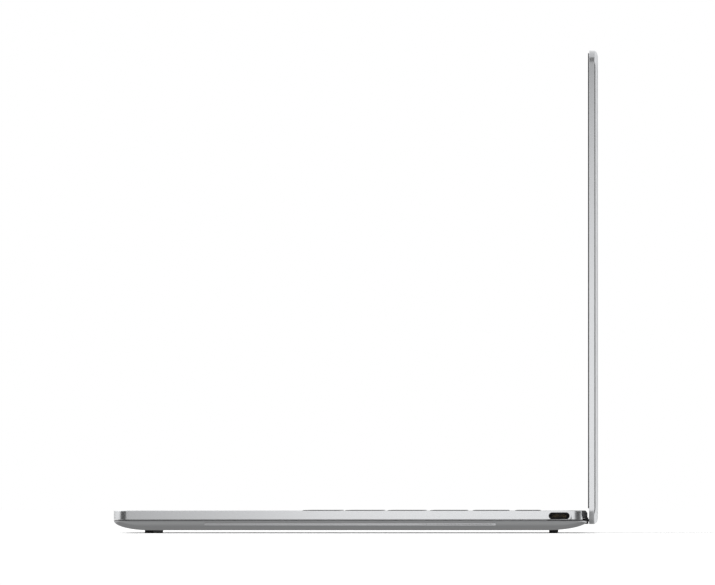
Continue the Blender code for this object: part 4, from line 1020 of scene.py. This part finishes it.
def makeSocket(side):
    node, name, sign = f"usb_c_port_{side}", f"socket{side.capitalize()}", sides[side]
    low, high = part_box(node)
    mouth = high.x if sign > 0 else low.x
    shell = softBlock(name, low, high, (high.z - low.z) / 2 - 0.02 * mm, axis=0)
    pick(shell, "FACE", lambda f: f.normal.x * sign > 0.99)
    bpy.ops.mesh.inset(thickness=socket["wall"])
    depth = high.x - low.x - socket["wall"]
    bpy.ops.mesh.extrude_region_move(TRANSFORM_OT_translate={"value": (-sign * depth, 0, 0)})
    closeMesh()
    roundRim(shell, 0, mouth, socket["mouthEdge"], 2)
    smoothOver(shell)
    paint(shell, portShadeSteel)
    width, thick, length = socket["tongue"]
    back = mouth - sign * (high.x - low.x - socket["wall"] / 2)
    front = back + sign * length
    near, far = sorted((back, front))
    tongueLow = (near, portY - width / 2, portZ - thick / 2)
    tongue = block("tongue", tongueLow, (far, portY + width / 2, portZ + thick / 2))
    roundEdges(tongue, lambda e: edgeAt(e, 0, front) or runsAlong(e, 0), socket["tongueEdge"], 3)
    smoothOver(tongue)
    paint(tongue, socketPlastic)
    breadth, reach, proud = socket["contactSize"]
    parts = [shell, tongue]
    tip = front - sign * socket["contactFromTip"]
    near, far = sorted((tip, tip - sign * reach))
    for i in range(socket["contacts"]):
        y = portY + (i - (socket["contacts"] - 1) / 2) * socket["contactPitch"]
        for z in (portZ - thick / 2, portZ + thick / 2):
            contact = block("contact", (near, y - breadth / 2, z - proud), (far, y + breadth / 2, z + proud))
            paint(contact, gold)
            parts.append(contact)
    fit(joinAll(name, parts), "base", node)


for side in sides:
    makeSocket(side)
print("sockets done")


# ---- touchpad ----

pad = {"corner": 2.0 * mm, "edge": 0.16 * mm}


def makePad():
    slab = softBlock("touchPad", padLow, padHigh, pad["corner"])
    roundRim(slab, 2, padHigh.z, pad["edge"], 3)
    complete(slab, padGlass, "touchpad", "touchpad")


makePad()


# ---- keys ----

cap = {
    "size": (15.6 * mm, 15.1 * mm, 1.65 * mm),
    "taper": 0.25 * mm,
    "corner": 1.15 * mm,
    "edge": 0.28 * mm,
    "dish": 0.07 * mm,
    "dishSteps": ((0.88, 0.3), (0.8, 0.5), (0.7, 0.2)),  # each ring's share of the last, and of the drop
}
legends = {
    "left_modifier_keys": ("ctrl", "fn", "sym", "alt"),
    "right_modifier_keys": ("alt", "ctrl"),
    "left_shift_key": ("shift",),
    "lower_letter_keys": tuple("ZXCVBNM,./"),
    "right_shift_key": ("shift",),
    "home_letter_keys": ("caps", *"ASDFGHJKL;'"),
    "enter_key": ("enter",),
    "upper_letter_keys": ("tab", *"QWERTYUIOP[]", "\\"),
    "number_keys": ("`", *"1234567890-="),
    "backspace_key": ("back",),
    "function_keys": ("esc", *(f"F{i}" for i in range(1, 13)), "del"),
}
arrowTurns = {"arrow_key_left": 90, "arrow_key_right": -90, "arrow_key_up": 0, "arrow_key_down": 180}
legend = {
    "letter": 4.0 * mm,
    "word": 2.5 * mm,
    "proud": 0.015 * mm,
    "sunk": 0.05 * mm,
    "arrow": 1.15 * mm,
    "powerRing": 1.05 * mm,
    "powerLine": 0.13 * mm,
    "powerGap": 0.4 * mm,
    "powerBar": (0.1 * mm, 1.35 * mm),
    "powerBarHalf": 0.12 * mm,
    "powerFlat": 0.3,
}
legendDepth = legend["proud"] + legend["sunk"]


# one cap round the origin, its top at height 0
def makeCapMaster():
    width, depth, height = cap["size"]
    master = block("capMaster", (-width / 2, -depth / 2, -height), (width / 2, depth / 2, 0))
    pick(master, "FACE", lambda f: faceLooks(f, (0, 0, 1)))
    bpy.ops.transform.resize(value=(1 - 2 * cap["taper"] / width, 1 - 2 * cap["taper"] / depth, 1))
    closeMesh()
    roundEdges(master, lambda e: runsAlong(e, 2), cap["corner"], 6)
    roundRim(master, 2, 0, cap["edge"], 3)
    pick(master, "FACE", lambda f: faceLooks(f, (0, 0, 1), 0.999))
    for share, drop in cap["dishSteps"]:
        bpy.ops.mesh.extrude_region_move()
        bpy.ops.transform.resize(value=(share, share, 1))
        bpy.ops.transform.translate(value=(0, 0, -drop * cap["dish"]))
    closeMesh()
    smoothOver(master, 60)
    paint(master, keyPlastic)
    return master


# puts a legend in its place and inks it
def setLegend(mark, place):
    mark.location = place
    onlySelect(mark)
    bpy.ops.object.transform_apply()
    paint(mark, legendInk)
    return mark


def lettering(text, place):
    words = added("lettering", bpy.ops.object.text_add).data
    words.body = text
    words.size = legend["letter"] if len(text) == 1 else legend["word"]
    words.align_x = words.align_y = "CENTER"
    words.resolution_u = 2
    words.extrude = legendDepth / 2
    bpy.ops.object.convert(target="MESH")
    mark = setLegend(bpy.context.object, place)
    mergeNear(mark, 0.0005 * mm)
    return mark


# a small solid arrowhead
def arrowMark(place, degrees):
    mark = drum("arrow", (0, 0, 0), legend["arrow"], legendDepth, sides=3)
    across = [v.co.y for v in mark.data.vertices]
    upright = max(across) > -min(across)
    mark.rotation_euler = (0, 0, math.radians(degrees if upright else degrees + 180))
    return setLegend(mark, place)


# a broken ring with a bar through its gap
def powerMark(place):
    sizes = {"major_radius": legend["powerRing"], "minor_radius": legend["powerLine"]}
    steps = {"major_segments": 36, "minor_segments": 6}
    ring = added("powerMark", bpy.ops.mesh.primitive_torus_add, **sizes, **steps)
    ring.scale = (1, 1, legend["powerFlat"])
    setLegend(ring, place)
    x, y, z = place
    gap = legend["powerGap"]
    carve(ring, block("gap", (x - gap, y, z - mm), (x + gap, y + 2 * mm, z + mm)))
    (start, end), half = legend["powerBar"], legend["powerBarHalf"]
    bar = block("bar", (x - half, y + start, z - 0.04 * mm), (x + half, y + end, z + 0.03 * mm))
    mark = joinAll("powerMark", [ring, bar])
    paint(mark, legendInk)
    return mark


# the strip under the deck that a row's caps are moulded on
def carrier(caps, bottom):
    y = (caps[0][2] + caps[0][3]) / 2
    half, space = keyboard["carrierDepth"] / 2, keyboard["space"]
    low = (caps[0][0] + space, y - half, bottom)
    strip = block("carrier", low, (caps[-1][1] - space, y + half, bottom + keyboard["carrier"]))
    paint(strip, keyPlastic)
    return strip


def makeKeys(name, master):
    caps, top = capPlaces(name)
    parts, marks = [], []
    dished = top - cap["dish"]
    level = dished + (legend["proud"] - legend["sunk"]) / 2
    for i, (lowX, highX, lowY, highY) in enumerate(caps):
        made = twin(master)
        spread(made, 0, highX - lowX - cap["size"][0])
        spread(made, 1, highY - lowY - cap["size"][1])
        middle = ((lowX + highX) / 2, (lowY + highY) / 2)
        made.location = (*middle, top)
        onlySelect(made)
        bpy.ops.object.transform_apply()
        parts.append(made)
        if name in legends:
            marks.append(lettering(legends[name][i], (*middle, level)))
        elif name in arrowTurns:
            marks.append(arrowMark((*middle, level), arrowTurns[name]))
        elif name == "power_button":
            marks.append(powerMark((*middle, dished)))
    if len(caps) > 1:
        parts.append(carrier(caps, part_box(name)[0].z))
    first, *rest = name.split("_")
    piece = joinAll(first + "".join(word.capitalize() for word in rest) + "Caps", parts + marks)
    fit(piece, name, name)


capMaster = makeCapMaster()
for name in keyGroups:
    makeKeys(name, capMaster)
bpy.data.objects.remove(capMaster)
print("keys done")


# ---- lid ----

lid = {
    "edgeDepth": 1.7 * mm,
    "edgeRun": 3.0 * mm,
    "levels": 14,
    "rimEdge": 0.12 * mm,
    "glassRoom": 0.3 * mm,
    "rebateCorner": 5.95 * mm,
    "webInset": 2.7 * mm,  # the slot's end, in from the barrel cover's end
    "webBottom": 2.2 * mm,  # below the hinge axis, as is the top
    "webTop": 0.7 * mm,
    "leafPocket": 1.4 * mm,
    "leafRoom": 0.1 * mm,
}
gasket = {"corner": 5.7 * mm, "width": 1.2 * mm, "edge": 0.1 * mm}
screen = {
    "corner": 4.2 * mm,
    "edge": 0.1 * mm,
    "border": 5.4 * mm,
    "topBorder": 7.6 * mm,
    "bottomBorder": 9.5 * mm,
}
barrelEase = {"width": 0.12 * mm, "segments": 2, "angle": 40}


def lidRing(inset, y):
    low = (lidLow.x + inset, lidLow.z + inset)
    high = (lidHigh.x - inset, lidHigh.z - inset)
    return [(x, y, z) for x, z in roundedPath(low, high, body["corner"], 24)]


def makeLid():
    rim, back = lidLow.y, lidHigh.y
    rings = [lidRing(lid["rimEdge"], rim), lidRing(0, rim + lid["rimEdge"])]
    for i in range(lid["levels"] + 1):
        angle = math.pi / 2 * i / lid["levels"]
        inset = lid["edgeRun"] * (1 - math.cos(angle))
        rings.append(lidRing(inset, back - lid["edgeDepth"] * (1 - math.sin(angle))))
    shell = pulledRings("lidBack", rings)
    room = lid["glassRoom"]
    panelLow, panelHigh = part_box("display_panel")
    low = (gasketLow.x - room, rim - mm, gasketLow.z - room)
    high = (gasketHigh.x + room, panelLow.y, gasketHigh.z + room)
    carve(shell, softBlock("rebate", low, high, lid["rebateCorner"], axis=1, steps=20))
    low = (panelLow.x - room, rim, panelLow.z - room)
    high = (panelHigh.x + room, panelHigh.y + room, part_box("camera_module")[1].z + 2 * room)
    carve(shell, block("pocket", low, high))
    for side in sides:
        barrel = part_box(f"hinge_cover_{side}")
        webLow, webHigh = barrel[0].x + lid["webInset"], barrel[1].x - lid["webInset"]
        bottom = hinge.z - lid["webBottom"]
        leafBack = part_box(f"hinge_arm_{side}")[1].y + room
        slotHigh = (webHigh, leafBack, hinge.z - lid["webTop"])
        carve(shell, block("webSlot", (webLow, rim - mm, bottom), slotHigh))
        low = (webLow, leafBack - lid["leafPocket"], bottom)
        carve(shell, block("leafPocket", low, (webHigh, leafBack, panelLow.z + lid["leafRoom"])))
    complete(shell, aluminium, "lid", "lid_shell")
    paintFlats(shell, blastedAluminium, 1)


def makeGasket():
    outer = softBlock("glassGasket", gasketLow, gasketHigh, gasket["corner"], axis=1, steps=20)
    room = Vector((gasket["width"], -mm, gasket["width"]))
    inner = gasket["corner"] - gasket["width"]
    carve(outer, softBlock("gasketRoom", gasketLow + room, gasketHigh - room, inner, axis=1, steps=20))
    roundRim(outer, 1, gasketLow.y, gasket["edge"], 3)
    complete(outer, gasketRubber, "lid", "glass_gasket", 50)


def makeGlass():
    activeLow = (glassLow.x + screen["border"], glassLow.z + screen["bottomBorder"])
    activeHigh = (glassHigh.x - screen["border"], glassHigh.z - screen["topBorder"])
    sheet = softBlock("screenGlass", glassLow, glassHigh, screen["corner"], axis=1, steps=16)
    roundRim(sheet, 1, glassLow.y, screen["edge"], 3)
    complete(sheet, makeScreenGlass(activeLow, activeHigh), "lid", "cover_glass")


# a merged copy of the CAD piece with its sharp edges eased
def makeBarrel(side):
    node = f"hinge_cover_{side}"
    onlySelect(nodes[node])
    bpy.ops.object.duplicate()
    made = bpy.context.object
    made.name = f"hingeBarrel{side.capitalize()}"
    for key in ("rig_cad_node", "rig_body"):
        if key in made:
            del made[key]
    made.parent = None
    mergeNear(made, 0.001 * mm)
    pickAll(made)
    bpy.ops.mesh.dissolve_limited(angle_limit=math.radians(1))
    closeMesh()
    limit = {"limit_method": "ANGLE", "angle_limit": math.radians(barrelEase["angle"])}
    applied(made, "BEVEL", width=barrelEase["width"], segments=barrelEase["segments"], **limit)
    smoothOver(made, 40)
    paint(made, darkPlastic)
    fit(made, "lid", node)


makeLid()
makeGasket()
makeGlass()
for side in sides:
    makeBarrel(side)
print("lid done")


# ---- finishes of the CAD pieces that stay ----

stayFinishes = (
    (brushedSteel, "hinge_arm", "wireless_card"),
    (dullSteel, "hinge_bracket", "touchpad_bracket", "keyboard_plate"),
    (darkPlastic, "speaker", "processor", "solid_state_drive", "fan_housing", "fan_rotor"),
    (circuitBoard, "mainboard", "camera_module"),
    (copper, "heat_pipe", "heat_sink"),
    (cellWrap, "battery_cell"),
    (displayStack, "display_panel"),
)
for name, obj in nodes.items():
    if not obj.hide_render:
        paint(obj, next(finish for finish, *starts in stayFinishes if name.startswith(tuple(starts))))
print("carried pieces finished")


# ---- studio ----

# what reflections see stands at places in millimetres, and around the horizon at degrees
studio = {
    "floorSize": 40.0,
    "skyForDiffuse": 1.25,
    "sky": ((0, 0.9), (0.35, 0.95), (0.7, 0.8), (1, 0.6)),  # from the horizon up
    "skyFrom": ((0, 0), (0.32, 0), (0.5, 1)),
    # painted shade and light on the floor as reflections see it, by distance past the base's sides, behind it
    # and ahead of it
    "glossAcross": (
        (-20, 0.23), (-4, 0.25), (-1, 0.33), (2.5, 0.34), (5, 0.27), (17, 0.27), (45, 0.6), (150, 0.9)
    ),
    "glossBehind": ((0, 0), (2, 0.2), (5.5, 0.95), (150, 0.95)),
    "glossAhead": ((0, 0), (2, 0.3), (6, 0.5), (40, 0.6), (150, 0.85)),
    "around": (
        (0, 0.95), (21, 0.92), (28, 0.10), (67, 0.10),
        (76, 1.0), (108, 1.0), (125, 0.9), (160, 0.9), (180, 0.95)
    ),
    "cornerFrom": (10 * mm, 30 * mm),
    "floorTone": 0.82,
    # painted shadow on the floor beneath the base: its tone, and how far it softens past the sides and ends
    "underTone": 0.06,
    "underSoft": (8 * mm, 20 * mm),
    "cardFromSide": 24 * mm,
    "cardHeight": 40 * mm,
    "cardFloor": 0.2 * mm,
    "cardReach": 3.5 * mm,
    "cardAlong": ((-105, 0.52), (-53, 0.71), (-14, 0.90), (25, 0.95)),
    "lidCardEnds": (85 * mm, 110 * mm),
    "lidCardTop": 215 * mm,
    "lidCardUp": (
        (40, 0.95), (98, 0.90), (119, 0.83), (140, 0.76), (157, 0.70), (182, 0.58), (195, 0.50), (215, 0.48)
    ),
    "lidFlag": (4 * mm, 24 * mm),
    "lidFlagLevel": ((0, 0.22), (300, 0.22)),
}
white = (1, 1, 1, 1)


# a level by the angle between two distances, as the strips of light stand round the horizon
def aroundLevel(tree, aside, ahead):
    turn = maths(tree, "DIVIDE", maths(tree, "ARCTAN2", aside, ahead), math.pi)
    return greyRamp(tree, turn, [(degrees / 180, level) for degrees, level in studio["around"]])


def makeWorld():
    world = bpy.data.worlds.new("studio")
    bpy.context.scene.world = world
    world.use_nodes = True
    world.cycles.sampling_method = "NONE"
    tree = world.node_tree
    place = node(tree, "TexCoord").outputs["Generated"]
    x, y, z = node(tree, "SeparateXYZ", {"Vector": place}).outputs
    strips = aroundLevel(tree, maths(tree, "ABSOLUTE", y), x)
    high = maths(tree, "ABSOLUTE", z)
    above = greyRamp(tree, high, studio["skyFrom"])
    glow = mixed(tree, above, strips, greyRamp(tree, high, studio["sky"]))
    path = node(tree, "LightPath").outputs
    glow = mixed(tree, path["Is Diffuse Ray"], glow, (*[studio["skyForDiffuse"]] * 3, 1))
    feed(tree, tree.nodes["Background"], {"Color": mixed(tree, path["Is Camera Ray"], glow, white)})


# a level read from distances in millimetres
def levelAt(tree, distance, stops):
    first, last = stops[0][0], stops[-1][0]
    entries = {"Value": distance, "From Min": first * mm, "From Max": last * mm}
    share = node(tree, "MapRange", entries).outputs["Result"]
    return greyRamp(tree, share, [((place - first) / (last - first), level) for place, level in stops])


def bareMaterial(name):
    material = bpy.data.materials.new(name)
    material.use_nodes = True
    tree = material.node_tree
    tree.nodes.remove(tree.nodes["Principled BSDF"])
    return material, tree, tree.nodes["Material Output"]


# plain to the camera but for a painted shadow beneath the base; to reflections it glows, with painted shade
# near the base and painted light further off
def makeFloor():
    floor = added("floor", bpy.ops.mesh.primitive_plane_add, size=studio["floorSize"])
    material, tree, output = bareMaterial("pale floor")
    x, y, _ = node(tree, "SeparateXYZ", {"Vector": objectPlace(tree)}).outputs
    overX = maths(tree, "SUBTRACT", maths(tree, "ABSOLUTE", x), body["half"])
    pastRear = maths(tree, "SUBTRACT", y, body["rear"])
    pastFront = maths(tree, "SUBTRACT", body["front"], y)
    pastEnd = maths(tree, "MAXIMUM", pastRear, pastFront)
    # painted shadow: the floor's own colour darkens beneath the base, fading out past its sides and ends
    softSide, softEnd = studio["underSoft"]
    inSide = maths(tree, "DIVIDE", overX, -softSide, use_clamp=True)
    inEnd = maths(tree, "DIVIDE", pastEnd, -softEnd, use_clamp=True)
    shadowUnder = maths(tree, "MULTIPLY", inSide, inEnd)
    fall = studio["underTone"] - studio["floorTone"]
    tone = maths(tree, "MULTIPLY_ADD", shadowUnder, fall, studio["floorTone"])
    # painted reflection: glossy rays see the floor as a glow, dark near the base and brighter further behind,
    # ahead and to the sides; far off it takes the pattern of the light strips round the horizon
    behind = levelAt(tree, pastRear, studio["glossBehind"])
    ahead = levelAt(tree, pastFront, studio["glossAhead"])
    across = levelAt(tree, overX, studio["glossAcross"])
    level = maths(tree, "MAXIMUM", across, maths(tree, "MAXIMUM", behind, ahead))
    aside = maths(tree, "MAXIMUM", overX, 0.0)
    beyond = maths(tree, "MAXIMUM", pastEnd, 0.0)
    start, end = studio["cornerFrom"]
    entries = {"Value": maths(tree, "ADD", aside, beyond), "From Min": start, "From Max": end}
    away = node(tree, "MapRange", entries).outputs["Result"]
    fade = mixed(tree, away, white, aroundLevel(tree, beyond, aside))
    plain = node(tree, "BsdfDiffuse", {"Color": tone}).outputs[0]
    glow = node(tree, "Emission", {"Color": maths(tree, "MULTIPLY", level, fade)}).outputs[0]
    glossy = node(tree, "LightPath").outputs["Is Glossy Ray"]
    top = node(tree, "MixShader", {"Fac": glossy, 1: plain, 2: glow}).outputs[0]
    below = node(tree, "NewGeometry").outputs["Backfacing"]
    clear = node(tree, "BsdfTransparent").outputs[0]
    feed(tree, output, {"Surface": node(tree, "MixShader", {"Fac": below, 1: top, 2: clear}).outputs[0]})
    paint(floor, material)


# a glowing sheet that only reflections see, its level read along one axis
def makeCard(name, low, high, axis, stops):
    low, high = Vector(low), Vector(high)
    card = added(name, bpy.ops.mesh.primitive_plane_add, size=2, location=(low + high) / 2)
    size = (high - low) / 2
    if size.x < 1e-6:
        card.rotation_euler = (0, math.pi / 2, 0)
        size.x = size.z
    card.scale = (size.x, size.y, 1)
    bpy.ops.object.transform_apply()
    material, tree, output = bareMaterial("reflected card")
    place = node(tree, "SeparateXYZ", {"Vector": objectPlace(tree)}).outputs[axis]
    glow = node(tree, "Emission", {"Color": levelAt(tree, place, stops)})
    feed(tree, output, {"Surface": glow.outputs["Emission"]})
    paint(card, material)
    card.visible_camera = card.visible_diffuse = card.visible_shadow = False


# beside the base, beside the lid, and a dark flag above the lid's corner
def makeCards(side):
    sign, name = sides[side], side.capitalize()
    x = sign * (body["half"] + studio["cardFromSide"])
    front, rear = body["front"] - studio["cardReach"], body["rear"] + studio["cardReach"]
    top, peak = studio["cardHeight"], studio["lidCardTop"]
    makeCard("sideCard" + name, (x, front, studio["cardFloor"]), (x, rear, top), "Y", studio["cardAlong"])
    near, far = studio["lidCardEnds"]
    makeCard("lidCard" + name, (x, near, top), (x, far, peak), "Z", studio["lidCardUp"])
    inner, outer = sorted(sign * (body["half"] + out) for out in studio["lidFlag"])
    makeCard("lidFlag" + name, (inner, near, peak), (outer, far, peak), "Z", studio["lidFlagLevel"])


lamp = {"place": (-0.5, -0.9, 1.5), "towards": (0.5, 0.9, -1.4), "size": (1.2, 0.9), "energy": 12}


def makeLamp():
    softbox = added("overheadSoftbox", bpy.ops.object.light_add, type="AREA", location=lamp["place"])
    softbox.data.shape = "RECTANGLE"
    softbox.data.size, softbox.data.size_y = lamp["size"]
    softbox.data.energy = lamp["energy"]
    softbox.rotation_euler = Vector(lamp["towards"]).to_track_quat("-Z", "Y").to_euler()


view = {
    "x": body["half"],
    "away": 10.0,
    "height": 14 * mm,
    "aim": (0.75 * mm, 101.3 * mm),  # Y and Z
    "frameWidth": 300.8 * mm,
    "sensor": 36,
}


def makeCamera():
    place = (view["x"] + view["away"], gasketLow.y, view["height"])
    camera = added("sideCamera", bpy.ops.object.camera_add, location=place)
    line = Vector((view["x"], *view["aim"])) - camera.location
    camera.rotation_euler = line.to_track_quat("-Z", "Y").to_euler()
    camera.data.sensor_width = view["sensor"]
    camera.data.lens = view["sensor"] * line.length / view["frameWidth"]
    camera.data.clip_end = 100
    bpy.context.scene.camera = camera


bpy.context.scene.view_settings.view_transform = "Standard"
bpy.context.scene.view_settings.look = "None"
makeWorld()
makeFloor()
for side in sides:
    makeCards(side)
makeLamp()
makeCamera()
print("studio set")
